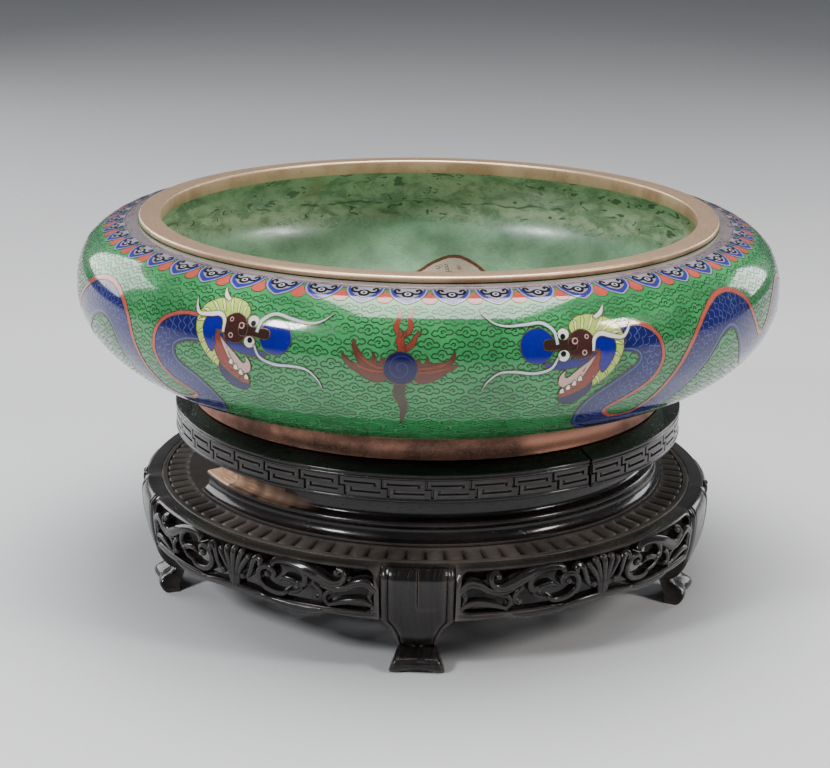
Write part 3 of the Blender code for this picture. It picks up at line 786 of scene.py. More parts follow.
flames([([(-6.2, 42.2), (-8, 42), (-9.6, 40.6), (-10.9, 38.9)], tongue),
        ([(-6.2, 41), (-7.6, 40.2), (-9.2, 37.6), (-10.3, 34.6)], tongue),
        ([(-1.7, 42.2), (0, 42), (1.6, 41.2), (3.1, 40)], tongue),
        ([(-1.7, 41), (-0.2, 40.4), (1.6, 39.6), (3.2, 37.4)], tongue)], rust)
flames([([(-3.95, 46), (-4.2, 51), (-3.6, 57), (-4.1, 68)], [4.0, 4.4, 3.0, 0.4])], (0.040, 0.030, 0.018))
ball = at(-3.95, 40.7)
blob(pearl, ball, 6.2, 6.2, navy, 3, 34)
swirl = [ball + Vector((cos(turn), sin(turn))) * (0.42 * turn) for turn in np.linspace(1.2, 12.0, 44)]
add_flat(pearl, *flat_band(swirl, 0.3), (0.030, 0.030, 0.160), 4)
inlay("flaming_pearl", pearl)


# The collar under the rim.
# A grey-lilac band carries cloud-headed lappets of black, white and blue, with coral between them.
# One lappet is drawn, and the rows tree sets fifty-two of them round.
lappets = 52
lappet = new_drawing()
between = 0.5 * around / lappets
drop = [(0, 7.8), (1.6, 10.2), (3.3, 13), (2.2, 15), (0, 15.6), (-2.2, 15), (-3.3, 13), (-1.6, 10.2)]
fill(lappet, [(between + x, y) for x, y in drop], coral, 1, 0.3, 1.8)
for side, tip, paint, layer, fence in (
        ([(8.2, 5.6), (7.6, 9.4), (5.6, 12.6), (2.9, 14.6)], 15.9, lilac, 2, 0.22),
        ([(7.5, 5.8), (6.9, 9), (5.1, 11.9), (2.6, 13.8)], 15.0, (0.020, 0.026, 0.240), 3, 0.0),
        ([(6.6, 5.6), (6, 8.2), (4.4, 10.6), (2.2, 12.2)], 13.0, (0.240, 0.225, 0.275), 4, 0.22)):
    cup = smooth_through([(-x, y) for x, y in side] + [(0.0, tip)] + side[::-1], False, 4)
    fill(lappet, cup, paint, layer, fence, 1.8)
for side in (-1.0, 1.0):
    curl = [(side * x, y) for x, y in ((1.2, 8.6), (2.6, 9.6), (4.6, 9.4), (5.6, 7.8), (4.9, 6.4), (3.7, 7),
                                       (4, 8))]
    add_flat(lappet, *flat_band(smooth_through(curl, False, 3), 1.2), black, 5)
blob(lappet, (0.0, 10.0), 2.5, 2.2, black, 6, 16, 0.0)
blob(lappet, (0.0, 9.9), 1.4, 1.15, (0.40, 0.38, 0.40), 7, 12, 0.0)
blob(lappet, (0.0, 9.9), 0.75, 0.6, black, 8, 8, 0.0)

for name, wire, finish in (("collar_lappets", False, figure_enamel), ("collar_wires", True, fence_wire)):
    chosen = [face for face, kind in zip(lappet["faces"], lappet["wire"]) if kind == wire]
    used = sorted({corner for face in chosen for corner in face})
    shape = new_piece("lappet", [(*lappet["points"][corner], lappet["lift"][corner]) for corner in used],
                      [tuple(used.index(corner) for corner in face) for face in chosen])
    paint_points(shape, [lappet["paint"][corner] for corner in used])
    repeated(name, (shape,), finish, 0.0, Columns=lappets, Rows=1, Depth=0.0, Start=0.0, Wander=0.0,
             Turn=0.0, Seed=1)
    put_away(shape)

collar_band = new_drawing()
steps = 312
points = []
for index in range(steps + 1):
    along = around * (index / steps - 0.5)
    points += [(along, 0.05), (along, 2.4), (along, 4.6), (along, 6.4 + 0.5 * sin(index * pi / 3.0))]
add_flat(collar_band, points, net(steps + 1, 4), (0.170, 0.140, 0.145), 0)
fence_in(collar_band, [Vector((point[0], 6.6)) for point in points[::4]], 0.4, 1)
rng = np.random.default_rng(5)
for index in range(150):
    x = around * (rng.random() - 0.5)
    y = 2.0 + 3.6 * rng.random()
    stroke(collar_band, [(x, y), (x + 1.5 + rng.random(), y + 0.7), (x + 3.6 + 1.4 * rng.random(), y + 0.2)],
           [0.3, 0.7, 0.2], (0.080, 0.070, 0.085), 1, 2, 0.0)
inlay("collar_band", collar_band)


# The marks inside.
# A round medallion with a red-brown outline lies low on the far wall, and others answer it round the bowl.
# A row of small rings and a scalloped wire run round under the pooled enamel.
def small_wire(name, arc, width, closed, tall):
    points, faces = flat_band(arc, width, closed)
    return new_piece(name, [(point.x, tall * point.y) for point in points], faces)


marks = (small_wire("ring", arc_round((0, 0), 1.9, 0.0, 360.0, 12)[:-1], 0.5, True, 1.25),
         small_wire("arch", arc_round((0, 0), 2.1, -200.0, 20.0, 9), 0.45, False, 1.2))
scallop = small_wire("scallop", arc_round((0, -3), 4.1, 12.0, 168.0, 8), 0.4, False, 0.8)
repeated("inner_rings", marks, inner_wire, 0.04, True, Columns=132, Rows=1, Depth=0.0, Start=50.3, Wander=0.9,
         Turn=0.25, Seed=3)
repeated("inner_scallops", (scallop,), inner_wire, 0.04, True, Columns=118, Rows=1, Depth=0.0, Start=58.0,
         Wander=0.25, Turn=0.05, Seed=6)
put_away(*marks, scallop)

medallions = new_drawing()
for azimuth in (-6.0, 84.0, 174.0, -96.0):
    centre = at(azimuth, 93.5)
    outline = []
    for angle in [2.0 * pi * index / 48 for index in range(48)]:
        lobe = 22.0 + 0.7 * abs(sin(4.0 * angle)) + 2.6 * max(0.0, cos(angle + 0.5 * pi)) ** 24
        wide = bowl_radius / np.interp(centre.y + lobe * sin(angle), inner_down, inner_line[:, 0])
        outline.append(centre + Vector((wide * lobe * cos(angle), lobe * sin(angle))))
    fill(medallions, outline, (0.170, 0.050, 0.035), 1, 0.34, 2.6)
    fill(medallions, [centre + (point - centre) * 0.93 for point in outline], (0.520, 0.420, 0.330), 2, 0.3,
         2.6)
    for index in range(34):
        angle = 2.0 * pi * rng.random()
        away = 18.0 * rng.random() ** 0.5
        spot = centre + Vector((1.25 * away * cos(angle), away * sin(angle)))
        curl = [spot + Vector((1.5 * cos(turn), 1.2 * sin(turn))) * (0.4 + 0.13 * turn)
                for turn in np.linspace(0.0, 5.4, 9)]
        add_flat(medallions, *flat_band(curl, 0.5), (0.130, 0.105, 0.095)
                 if index % 3 else (0.330, 0.120, 0.090), 3)
inlay("inner_medallions", medallions, True)


# The rim.
# A brass band, once gilt, is spun over the shell's edge; its gilding is rubbed pale on top. Below the top it
# is dulled brown, partly tarnish and partly painted shade on the rim's sides.
brushed_metal, given, result = new_group(
    "brushed_metal", {"Vector": "Vector", "Bright": "Color", "Dull": "Color", "Tarnish": "Float",
                      "Rubbed And Lit Above": "Float"},
    {"Colour": "Color", "Roughness": "Float", "Metallic": "Float", "Height": "Float"})
parts = lay(brushed_metal, "ShaderNodeSeparateXYZ", {0: given["Vector"]}).outputs
turn = times(work("ARCTAN2", parts["X"], parts["Y"]), 0.05)
away = lay(brushed_metal, "ShaderNodeVectorMath", {0: given["Vector"]}, operation="LENGTH").outputs["Value"]
lathe = lay(brushed_metal, "ShaderNodeCombineXYZ", {0: turn, 1: away, 2: parts["Z"]}).outputs[0]
scratch = grain_of(lathe, 1900.0, 3.0, 0.6)
cloudy = grain_of(given["Vector"], 38.0, 4.0, 0.6)
spots = spread(grain_of(given["Vector"], 240.0, 3.0, 0.6), 0.62, 0.76)
aged_and_shaded = times(spread(cloudy, 0.38, 0.68), given["Tarnish"])
# Below the given level the brass is dulled and less metallic: partly tarnish, partly painted shade.
below = times(minus(given["Rubbed And Lit Above"], parts["Z"]), 900.0, True)
aged_and_shaded = plus(plus(aged_and_shaded, times(below, 0.75)), times(spots, 0.18), True)
tint = blend(aged_and_shaded, given["Bright"], given["Dull"])
tint = blend(spread(scratch, 0.45, 0.75, 0.0, 0.12), tint, (0.85, 0.74, 0.62))
feed(result, {"Colour": tint, "Metallic": minus(1.0, times(below, 0.7)), "Height": times(scratch, 0.000008),
              "Roughness": plus(spread(scratch, 0.3, 0.7, 0.34, 0.42), times(aged_and_shaded, 0.16))})


def metal(name, bright, dull, tarnish, rubbed_and_lit_above=0.0):
    material, shader, place = new_finish(name)
    look = dress(shader, brushed_metal, 0.5, {"Vector": place, "Bright": bright, "Dull": dull,
                                              "Tarnish": tarnish,
                                              "Rubbed And Lit Above": rubbed_and_lit_above})
    feed(shader, {"Metallic": look["Metallic"]})
    return material


rim_brass = metal("rim_brass", (0.930, 0.655, 0.432), (0.300, 0.165, 0.085), 0.30, 0.1618)
rim_top = 0.1620
band_bottom = seat_level + seam + 0.0002
skirt_bottom = rim_top - 0.0063
rim_profile = [(mouth_radius, skirt_bottom + 0.0003),
               *arc_round((mouth_radius + 0.0009, rim_top - 0.0009), 0.0009, 180.0, 90.0, 5),
               (mouth_radius + 0.0045, rim_top + 0.00002),
               *arc_round((rim_radius - 0.0011, rim_top - 0.0011), 0.0011, 90.0, 0.0, 6),
               (rim_radius, band_bottom + 0.0001), (rim_radius - 0.0001, band_bottom),
               (mouth_radius + 0.0020, band_bottom), (mouth_radius + 0.0020, skirt_bottom),
               (mouth_radius + 0.0003, skirt_bottom)]
rim = close_up(new_piece("rim", *turned(rim_profile, 256), [rim_brass]), 50.0)
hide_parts("mouth_rim")
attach(rim, "root")


# The foot.
# A plain copper ring is soldered under the shell, left bare and rubbed pink by handling.
foot_copper = metal("foot_copper", (0.335, 0.155, 0.103), (0.070, 0.038, 0.030), 0.9)
foot_radius = 0.1028
foot_level = 0.0830
foot_top = shell_bottom - seam
foot_profile = [(foot_radius - inset, level) for inset, level in (
    (0.0003, foot_top), (0.0011, foot_top - 0.0020), (0.0012, foot_level + 0.0030),
    (0.0003, foot_level + 0.0009), (0.0001, foot_level + 0.0003), (0.0006, foot_level), (0.0030, foot_level),
    (0.0035, foot_level + 0.0005), (0.0035, foot_top))]
foot = close_up(new_piece("foot", *turned(foot_profile, 192), [foot_copper]), 40.0)
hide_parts("foot_ring")
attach(foot, "root")


# The hardwood of the stand.
# It is dense and nearly black, oiled and polished, lighter on its convex edges, partly rubbed brown and
# partly painted highlight, with dust in its recesses.
# The same finish serves every piece of the stand; broken places show the pale raw wood.
hardwood_look, given, result = new_group(
    "hardwood_look", {"Along Grain": "Vector", "Place": "Vector", "Wear And Painted Light": "Float", "Raw": "Float",
                      "Brownness": "Float"}, {"Colour": "Color", "Roughness": "Float", "Height": "Float"})
along = given["Along Grain"]
raw = given["Raw"]
fibre = grain_of(stretched(along, (40.0, 620.0, 1.0)), 1.0, 5.0, 0.6, 0.3)
pores = spread(grain_of(stretched(along, (220.0, 2600.0, 1.0)), 1.0, 2.0, 0.5), 0.62, 0.74)
splinter = grain_of(stretched(along, (90.0, 1500.0, 1.0)), 1.0, 4.0, 0.7, 0.5)
cloudy = grain_of(given["Place"], 26.0, 4.0, 0.6)
wood = blend(spread(fibre, 0.35, 0.68), (0.0040, 0.0034, 0.0036), (0.0120, 0.0095, 0.0090))
wood = blend(times(spread(cloudy, 0.40, 0.66, 0.30, 1.0), given["Brownness"]), wood, (0.092, 0.068, 0.056))
# Marked places are lighter: partly wear, partly painted highlight on edges and tops.
wood = blend(times(given["Wear And Painted Light"], spread(cloudy, 0.30, 0.60, 0.35, 1.0)), wood, (0.150, 0.125, 0.110))
wood = blend(times(pores, 0.5), wood, (0.004, 0.003, 0.003))
bare = blend(spread(splinter, 0.35, 0.7), (0.900, 0.620, 0.400), (0.520, 0.270, 0.140))
stained = blend(spread(raw, 0.15, 0.75), (0.105, 0.060, 0.040), bare)
smooth = plus(spread(cloudy, 0.3, 0.7, 0.17, 0.31), times(pores, 0.2))
height = minus(times(fibre, 0.00008), times(pores, 0.00006))
feed(result, {"Colour": blend(spread(raw, 0.05, 0.16), wood, stained),
              "Roughness": plus(smooth, spread(raw, 0.05, 0.3, 0.0, 0.35)),
              "Height": plus(height, times(times(splinter, raw), 0.0005))})


def hardwood(name, brownness, polish):
    material, shader, place = new_finish(name)
    tree = material.node_tree
    raw = lay(tree, "ShaderNodeAttribute", attribute_name="raw").outputs["Fac"]
    look = dress(shader, hardwood_look, 0.8, {
        "Along Grain": lay(tree, "ShaderNodeUVMap", uv_map="grain").outputs[0], "Place": place, "Raw": raw,
        "Wear And Painted Light": lay(tree, "ShaderNodeAttribute", attribute_name="wear_and_painted_light").outputs["Fac"],
        "Brownness": brownness})
    feed(shader, {"Roughness": plus(look["Roughness"], 0.7 * (0.34 - polish)),
                  "Coat Weight": spread(raw, 0.02, 0.2, polish, 0.0), "Coat Roughness": 0.07,
                  "Specular IOR Level": 0.22})
    return material


dark_wood = hardwood("dark_wood", 0.05, 0.34)
rubbed_wood = hardwood("rubbed_wood", 0.35, 0.05)


def mark(piece, name, values):
    """Keep one number for each point of a piece, such as its rawness, or its wear and painted light."""
    layer = piece.data.attributes.get(name) or piece.data.attributes.new(name, "FLOAT", "POINT")
    layer.data.foreach_set("value", np.asarray(values, np.float32))


def wood_marks(piece, direction, softness):
    """Give a piece its grain map, and a lighter mark along its convex edges, partly wear and partly painted
    highlight.
    """
    mesh = piece.data
    spots = numbers_of(mesh.vertices, "co")
    turn = np.arctan2(spots[:, 0], -spots[:, 1])
    away = np.hypot(spots[:, 0], spots[:, 1])
    grain = np.stack({"round": (turn * 0.11, spots[:, 2] + away),
                      "upright": (spots[:, 2], turn * 0.12 + 0.3 * away),
                      "board": (spots[:, 0], spots[:, 1] + spots[:, 2])}[direction], axis=1)
    corners = numbers_of(mesh.loops, "vertex_index", 1, np.int32)[:, 0]
    mesh.uv_layers.new(name="grain").data.foreach_set("uv", grain[corners].astype(np.float32).ravel())
    normals = numbers_of(mesh.vertex_normals, "vector")
    edges = numbers_of(mesh.edges, "vertices", 2, np.int32)
    ways = spots[edges[:, 1]] - spots[edges[:, 0]]
    ways /= np.linalg.norm(ways, axis=1)[:, None] + 1e-9
    bend = np.zeros(len(spots))
    share = np.zeros(len(spots))
    for end, sign in ((0, -1.0), (1, 1.0)):
        np.add.at(bend, edges[:, end], sign * np.einsum("ij,ij->i", ways, normals[edges[:, end]]))
        np.add.at(share, edges[:, end], 1.0)
    # Convex edges are marked lighter: partly wear, partly painted highlight.
    mark(piece, "wear_and_painted_light", np.clip((bend / np.maximum(share, 1.0) - 0.06) / softness, 0.0, 1.0))


# The gallery.
# Five jointed boards make the ring round the bowl's foot: a flat ledge on top, two fine beads, a carved
# key fret and a bead below. The front right joint has sprung open, and the board to its right stands proud.
gallery_radius = 0.1106
gallery_inner = 0.0970
gallery_top = 0.0827
gallery_bottom = 0.0680
fret_face = gallery_radius - 0.0003
fret_depth = 0.0010
fret_bevel = 0.00016
frets_per_arc = 8
key_cuts = [(-0.00045, 0.00045, 0.0734, 0.0771), (0.00195, 0.00285, 0.0697, 0.0740),
            (-0.00045, 0.00285, 0.0734, 0.0740), (0.0019, 0.0148, 0.07505, 0.07575),
            (0.01405, 0.0148, 0.0742, 0.07575), (0.0046, 0.0164, 0.0715, 0.0722),
            (0.0046, 0.00535, 0.0715, 0.0731)]
top_bead = gallery_top - 0.0028
gallery_section_below = [
    (gallery_inner + 0.0004, gallery_bottom), (gallery_radius - 0.0016, gallery_bottom),
    *arc_round((gallery_radius - 0.0008, gallery_bottom + 0.0009), 0.0008, -80.0, 80.0, 6),
    (fret_face - 0.0007, gallery_bottom + 0.0017), (fret_face, gallery_bottom + 0.0019)]
gallery_section_above = [
    (fret_face - 0.0007, top_bead - 0.0026),
    *arc_round((gallery_radius - 0.0006, top_bead - 0.0020), 0.00060, -75.0, 75.0, 5),
    *arc_round((gallery_radius - 0.0006, top_bead - 0.0006), 0.00060, -75.0, 75.0, 5),
    (gallery_radius - 0.0012, top_bead + 0.0004), (0.1057, gallery_top - 0.0010),
    (0.1040, gallery_top - 0.0001), (0.1034, gallery_top), (gallery_inner + 0.0004, gallery_top),
    (gallery_inner, gallery_top - 0.0004), (gallery_inner, gallery_bottom + 0.0004)]
board_push = (0.0006, 0.0, 0.0, -0.0008, 0.0)
first_gaps = (0.0012, 0.00025, 0.00025, 0.0012, 0.00025)
last_gaps = (0.00025, 0.00025, 0.00025, 0.0012, 0.00025)


def bevelled(edges):
    return sorted({round(edge + way * fret_bevel, 7) for edge in edges for way in (-1.0, 1.0)})


for number in range(5):
    joint = 72.0 * (number + 0.5)
    start = joint + degrees(0.5 * first_gaps[number] / gallery_inner)
    end = joint + 72.0 - degrees(0.5 * last_gaps[number] / gallery_inner)
    step = (end - start) / frets_per_arc
    pitch = radians(step) * fret_face
    cuts = [(low + shift, high + shift, bottom, top) for low, high, bottom, top in key_cuts
            for shift in (0.0, pitch)]
    along = [place for place in bevelled([edge for cut in cuts for edge in cut[:2]])
             if -0.5 * fret_bevel < place < pitch - 0.5 * fret_bevel] + [0.5 * pitch]
    levels = bevelled([edge for cut in cuts for edge in cut[2:]])
    columns = {start, end} | {start + index * step + degrees(place / fret_face)
                              for index in range(frets_per_arc) for place in along}
    columns = [column for column in sorted(columns) if start <= column <= end]
    section = gallery_section_below + [(fret_face, level) for level in levels] + gallery_section_above
    fret_rows = range(len(gallery_section_below), len(gallery_section_below) + len(levels))
    shift = polar(board_push[number], joint + 36.0, 0.0)
    points = []
    for place, (radius, level) in enumerate(section):
        for column in columns:
            key = radians(column - start) * fret_face % pitch
            carved = place in fret_rows and any(cut[0] < key < cut[1] and cut[2] < level < cut[3]
                                                for cut in cuts)
            points.append(polar(radius - fret_depth * carved, column, level) + shift)
    faces = net(len(section), len(columns), close_rows=True, ends=True)
    board = close_up(new_piece(f"gallery_board_{number + 1}", points, faces, [dark_wood]), 40.0)
    wood_marks(board, "round", 1.3)
    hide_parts(f"gallery_arc_{number + 1}")
    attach(board, "root")


# The neck moulding.
# A turned ring with a cove, a round step and a short neck carries the gallery on the deck.
# On the left a length is lost: its end is cut clean, and beside it the neck has torn down to raw wood.
cove = [(0.1038 - 0.0034 * sin(radians(turn)), 0.0533 - 0.0048 * cos(radians(turn)))
        for turn in range(8, 90, 8)]
moulding_profile = [
    (0.0860, 0.0475), (0.1038, 0.0475), (0.1040, 0.0477), (0.1040, 0.0481), (0.1038, 0.0485), *cove,
    (0.1004, 0.0535), *arc_round((0.1002, 0.0552), 0.0013, -75.0, 80.0, 8),
    (0.0996, 0.0567), (0.0985, 0.0571), (0.0978, 0.0578), (0.0975, 0.0590), (0.0975, 0.0602),
    (0.0975, 0.0615), (0.0976, 0.0630), (0.0978, 0.0645), (0.0981, 0.0658), (0.0985, 0.0668),
    (0.0988, 0.0676), (0.0960, 0.0677), (0.0900, 0.0677), (0.0860, 0.0677)]
kept_from = -66.0
kept_to = 252.0
torn = list(np.arange(kept_from, -18.0, 0.5))
columns = torn + list(np.arange(torn[-1] + 1.25, kept_to - 0.6, 1.25)) + [kept_to]
rng = np.random.default_rng(11)
ragged = np.interp(torn, np.arange(-66.0, -15.0, 1.6), rng.random(32))
points = []
raw = []
for radius, level in moulding_profile:
    on_neck = level > 0.0566 and radius > 0.0956
    on_step = 0.0555 < level < 0.0568 and 0.0980 < radius < 0.1012
    for column in columns:
        reach, bare = radius, 0.0
        if column < -20.0:
            shred = float(np.interp(column, torn, ragged))
            full = column < -53.0 - 3.0 * shred
            fading = max(0.0, min(1.0, (-22.0 - column) / 26.0))
            torn_share = 0.25 + 0.35 * fading
            if on_neck:
                share = (level - 0.0567) / 0.0110
                cut = 0.0034 * full * (1.0 - 0.45 * share)
                tear = 0.0011 * (0.4 + 0.6 * shred) * fading * max(0.0, 1.0 - share / torn_share) ** 0.5
                reach -= max(cut, tear)
                bare = 0.95 if full else (0.24 + 0.30 * shred) * fading * (share < torn_share)
            elif on_step:
                bare = max(0.8 * full, 0.35 * fading * shred)
        points.append(polar(reach, column, level))
        raw.append(bare)
faces = net(len(moulding_profile), len(columns), close_rows=True, ends=True)
neck_moulding = close_up(new_piece("neck_moulding", points, faces, [dark_wood]), 42.0, 1e-8)
wood_marks(neck_moulding, "round", 0.35)
mark(neck_moulding, "raw", raw)
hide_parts("cove_moulding")
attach(neck_moulding, "root")


# The deck.
# A round board lies in the stand's top. A ring of gouged petals falls outwards round its raised middle,
# and its flat edge is rubbed brown. Ridges and edge are marked lighter than the cuts: partly wear, partly
# painted shade.
deck_radius = 0.1165
deck_level = 0.0460
deck_bottom = 0.0380
deck_middle = deck_level + 0.0012
petals = 90
petal_inner = 0.1045
petal_outer = 0.1139
petal_reach = petal_outer - petal_inner


def deck_height(radius, azimuth):
    """A petal is a tongue with a ridge down its middle, a cut on each side and a rounded tip."""
    if radius <= petal_inner:
        return deck_middle
    share = (radius - petal_inner) / petal_reach
    aside = abs(2.0 * (azimuth * petals / 360.0 % 1.0) - 1.0)
    tip = petal_outer - 0.0019 * aside ** 2.2
    crown = deck_middle - 0.0009 * share - 0.00050 * min(1.0, share / 0.2) * min(1.0, aside / 0.7)
    crown -= max(0.0, (aside - 0.80) / 0.20) ** 0.8 * (0.0004 + 0.0013 * share)
    past = max(0.0, min(1.0, (radius - tip + 0.0005) / 0.0006))
    return crown + (deck_level - 0.0005 - crown) * past if radius < petal_outer + 0.0001 else deck_level


petal_shares = (0.06, 0.13, 0.2, 0.32, 0.46, 0.6, 0.7, 0.76, 0.80, 0.84, 0.88, 0.91, 0.94, 0.97, 1.0)
deck_rings = [0.0400, 0.0950, 0.1035, 0.1043, petal_inner]
deck_rings += [petal_inner + petal_reach * share for share in petal_shares]
deck_rings += [petal_outer + 0.00025, petal_outer + 0.0005, 0.1150, 0.1158]
edge_rings = [(0.1162, deck_level - 0.0001), (deck_radius - 0.00005, deck_level - 0.0004),
              (deck_radius, deck_level - 0.0010), (deck_radius, deck_bottom), (0.0600, deck_bottom)]
columns = petals * 14
turns = [360.0 * index / columns for index in range(columns)]
points = [polar(radius, turn, deck_height(radius, turn)) for radius in deck_rings for turn in turns]
points += [polar(radius, turn, level) for radius, level in edge_rings for turn in turns]
ring_count = len(deck_rings) + len(edge_rings)
faces = net(ring_count, columns, close_columns=True)
for ring, level in ((0, deck_middle), (ring_count - 1, deck_bottom)):
    faces += [(len(points), ring * columns + index, ring * columns + (index + 1) % columns)
              for index in range(columns)]
    points.append((0.0, 0.0, level))
deck = close_up(new_piece("deck_board", points, faces, [rubbed_wood]), 55.0)
wood_marks(deck, "board", 0.35)
spots = numbers_of(deck.data.vertices, "co")
share = (np.hypot(spots[:, 0], spots[:, 1]) - petal_inner) / petal_reach
crown = np.where(share < 1.0, deck_middle - 0.0009 * np.maximum(share, 0.0), deck_level)
# Faces near the crown are marked lighter, partly as wear; the petals' cuts and the deck's side stay dark as
# painted shade.
worn_tops_shaded_cuts = np.maximum(0.0, 1.0 - np.maximum(0.0, crown - spots[:, 2] - 0.0002) / 0.0008)
mark(deck, "wear_and_painted_light", worn_tops_shaded_cuts * np.where(share < 0.0, 0.30, 0.55))
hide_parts("deck")
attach(deck, "root")


# The aprons.
# Five pierced panels are bent round under the deck's edge between the legs: a fan in the middle, and on
# each side a scroll, an open ring, a hook that holds a small ball and leaves, all in rounded relief.
shoulder_radius = 0.1252
shoulder_level = 0.0405
stand_top = 0.0457
waist_level = 0.0100
waist_radius = 0.1138
leg_azimuths = (-1.4, 71.5, 143.0, 214.0, 285.3)
leg_half_width = 0.0148
leg_half_angle = degrees(asin(leg_half_width / shoulder_radius))


def stand_outline(height):
    if height > shoulder_level:
        share = (height - shoulder_level) / (deck_level + 0.00156 - shoulder_level)
        return deck_radius + (shoulder_radius - deck_radius) * max(1.0 - share ** 2.0, 0.0) ** 0.5
    share = (shoulder_level - height) / (shoulder_level - waist_level)
    return waist_radius + (shoulder_radius - waist_radius) * max(1.0 - share ** 2.1, 0.0) ** 0.6


outline_levels = np.linspace(0.0, 0.0475, 400)
outline_radii = [stand_outline(level) for level in outline_levels]
apron_half = radians(36.0 - leg_half_angle) * shoulder_radius * 1000.0 - 0.3
window_low = 26.4
window_high = 44.9
window_corner = 3.4
lower_edge = [(0, 25), (9, 25), (15, 24.4), (22, 23.3), (30, 22.7), (38, 23.3), (42.5, 24.7), (49, 24.2),
              (64, 23.8)]
# Each branch: its line in millimetres from the fan and above the floor, its widths, its rise and inner lines.
fan_middle = ([(0, 27), (0, 33), (0, 38.5), (0, 43)], [2.2, 1.9, 2.6, 2.9], 1.9, 0)
branches = [
    # The lobes on one side of the fan.
    ([(0.9, 27), (1.4, 33), (2.6, 38), (3.8, 42.4)], [2.0, 1.7, 2.6, 2.8], 1.75, 0),
    ([(1.6, 28), (2.6, 33), (4.7, 37.4), (7, 40.9)], [1.8, 1.6, 2.5, 2.6], 1.75, 0),
    # The scroll that stands beside the fan.
    ([(13, 39.4), (13.5, 41.2), (12.3, 42.3), (10.7, 41.4), (9.7, 38.8), (8.8, 35.8), (7.2, 33.6), (5, 32.8)],
     [1.8, 2.4, 2.7, 2.7, 2.4, 2.2, 2.0, 1.8], 1.7, 1),
    # The open ring: its outer side, and the arch that runs on as the long branch to the hook.
    ([(28.8, 43.2), (32.2, 41.2), (33.7, 38.2), (33.4, 35.4), (31.4, 34.3)], [2.4, 2.8, 2.6, 2.1, 1.7], 1.5,
     0),
    ([(19.2, 41.2), (19.9, 42.7), (22.4, 43.7), (27, 43.7), (32, 42.6), (37, 40.4), (41.5, 38.2),
      (45.4, 37.3), (48.6, 38.6), (49.9, 41.2), (48.8, 43.2), (46.6, 43.7)],
     [2.2, 2.6, 2.8, 3.0, 3.8, 4.6, 4.4, 3.4, 2.5, 2.1, 1.8, 1.6], 1.9, 1),
    # The lower scroll, wound round a ball, and the leaf that enters the ring.
    ([(19.9, 35.9), (20.3, 38.2), (18.2, 39.9), (14.9, 39.4), (12.8, 37), (12.9, 33.6), (15.2, 30.9),
      (19, 29.5), (23.4, 29.5), (26.2, 31.2)], [1.3, 1.7, 2.1, 2.4, 2.6, 2.6, 2.7, 2.7, 2.4, 1.6], 1.7, 1),
    ([(34.2, 37.4), (31, 35.4), (28, 36.3), (24.8, 36.7), (22.4, 35.2)], [1.8, 2.6, 2.4, 2.5, 1.0], 1.6, 0),
    ([(26.4, 30.8), (29.6, 31.6), (32.4, 33.6)], [1.4, 2.2, 1.6], 1.2, 0),
    # The leaves that come in from the leg.
    ([(62, 36.2), (58.4, 39.2), (54.2, 38.6), (50.4, 36.4), (45.6, 35.4), (40, 36.4)],
     [2.6, 3.5, 3.2, 2.8, 2.6, 1.4], 1.7, 1),
    ([(62, 28.8), (57.6, 30.9), (52.6, 30.8), (47.8, 29.8), (43.6, 28.2)], [1.4, 2.6, 2.9, 2.4, 1.6], 1.6, 1),
    ([(37, 36.8), (39.6, 34.4), (40, 31.2), (37.8, 29.6)], [2.4, 2.2, 1.9, 1.6], 1.5, 0),
    ([(43.6, 27.4), (41.6, 30.2), (42.6, 33.2), (46.2, 33.8)], [1.6, 2.0, 2.0, 1.0], 1.3, 0),
    ([(60.6, 30.6), (59.8, 33.4), (61.4, 36)], [1.2, 1.8, 1.2], 1.3, 0),
    # The long leaves of the lower rail, one over the next.
    ([(42.5, 26.4), (38, 24.9), (31, 24.4), (22, 25), (15, 26.6)], [0.9, 2.6, 3.3, 3.0, 1.4], 1.7, 0),
    ([(18, 26), (12.5, 26.6), (6.5, 27), (0.5, 27.4)], [1.4, 2.6, 3.0, 2.6], 1.9, 0),
    ([(40, 26), (48, 25.3), (56, 25.4), (62.5, 26)], [1.4, 2.2, 2.4, 2.4], 1.5, 0)]
# Each ball: its place, its size and how deep its middle lies.
fan_tip = (0.0, 43.1, 1.75, 1.6)
apron_balls = [(3.9, 42.6, 1.65, 1.6), (7.2, 41.2, 1.5, 1.6), (46.8, 42.4, 1.25, 0.55),
               (17.4, 36.9, 1.45, 0.55), (5.2, 33.0, 1.35, 0.55), (37.9, 30.8, 1.05, 0.55),
               (30.6, 34.9, 1.1, 0.55)]
ball_points, ball_faces = turned([(sin(pi * row / 6), -cos(pi * row / 6)) for row in range(7)], 12)
apron_points = []
apron_faces = []


def add_carving(points, faces):
    first = len(apron_points)
    apron_points.extend(points)
    apron_faces.extend([first + corner for corner in face] for face in faces)


def carve(path, widths, rise, inner_lines, cuts=6, fullness=1.06):
    """A stroke in rounded relief, as distance along, height and depth, with a flat back and closed ends."""
    line = smooth_through(path, False, cuts)
    wide = fullness * spaced(widths, len(line))
    rows = []
    for (left, right), width in zip(strip(line, wide), wide):
        for turn in [pi * index / 8 for index in range(9)]:
            bulge = sin(turn) ** 0.7
            if inner_lines:
                bulge *= 1.0 - 0.26 * max(0.0, 1.0 - abs(turn - 0.40 * pi) / (0.13 * pi))
            rows.append((*left.lerp(right, 0.5 - 0.5 * cos(turn)),
                         1.65 - rise * min(1.0, width / 2.2) * bulge))
        rows += [(*right, 4.9), (*left, 4.9)]
    add_carving(rows, net(len(line), 11, close_columns=True, ends=True))


def knob(x, y, size, sunk):
    add_carving([(x + size * ball[0], y + size * ball[1], sunk + size * ball[2]) for ball in ball_points],
                ball_faces)


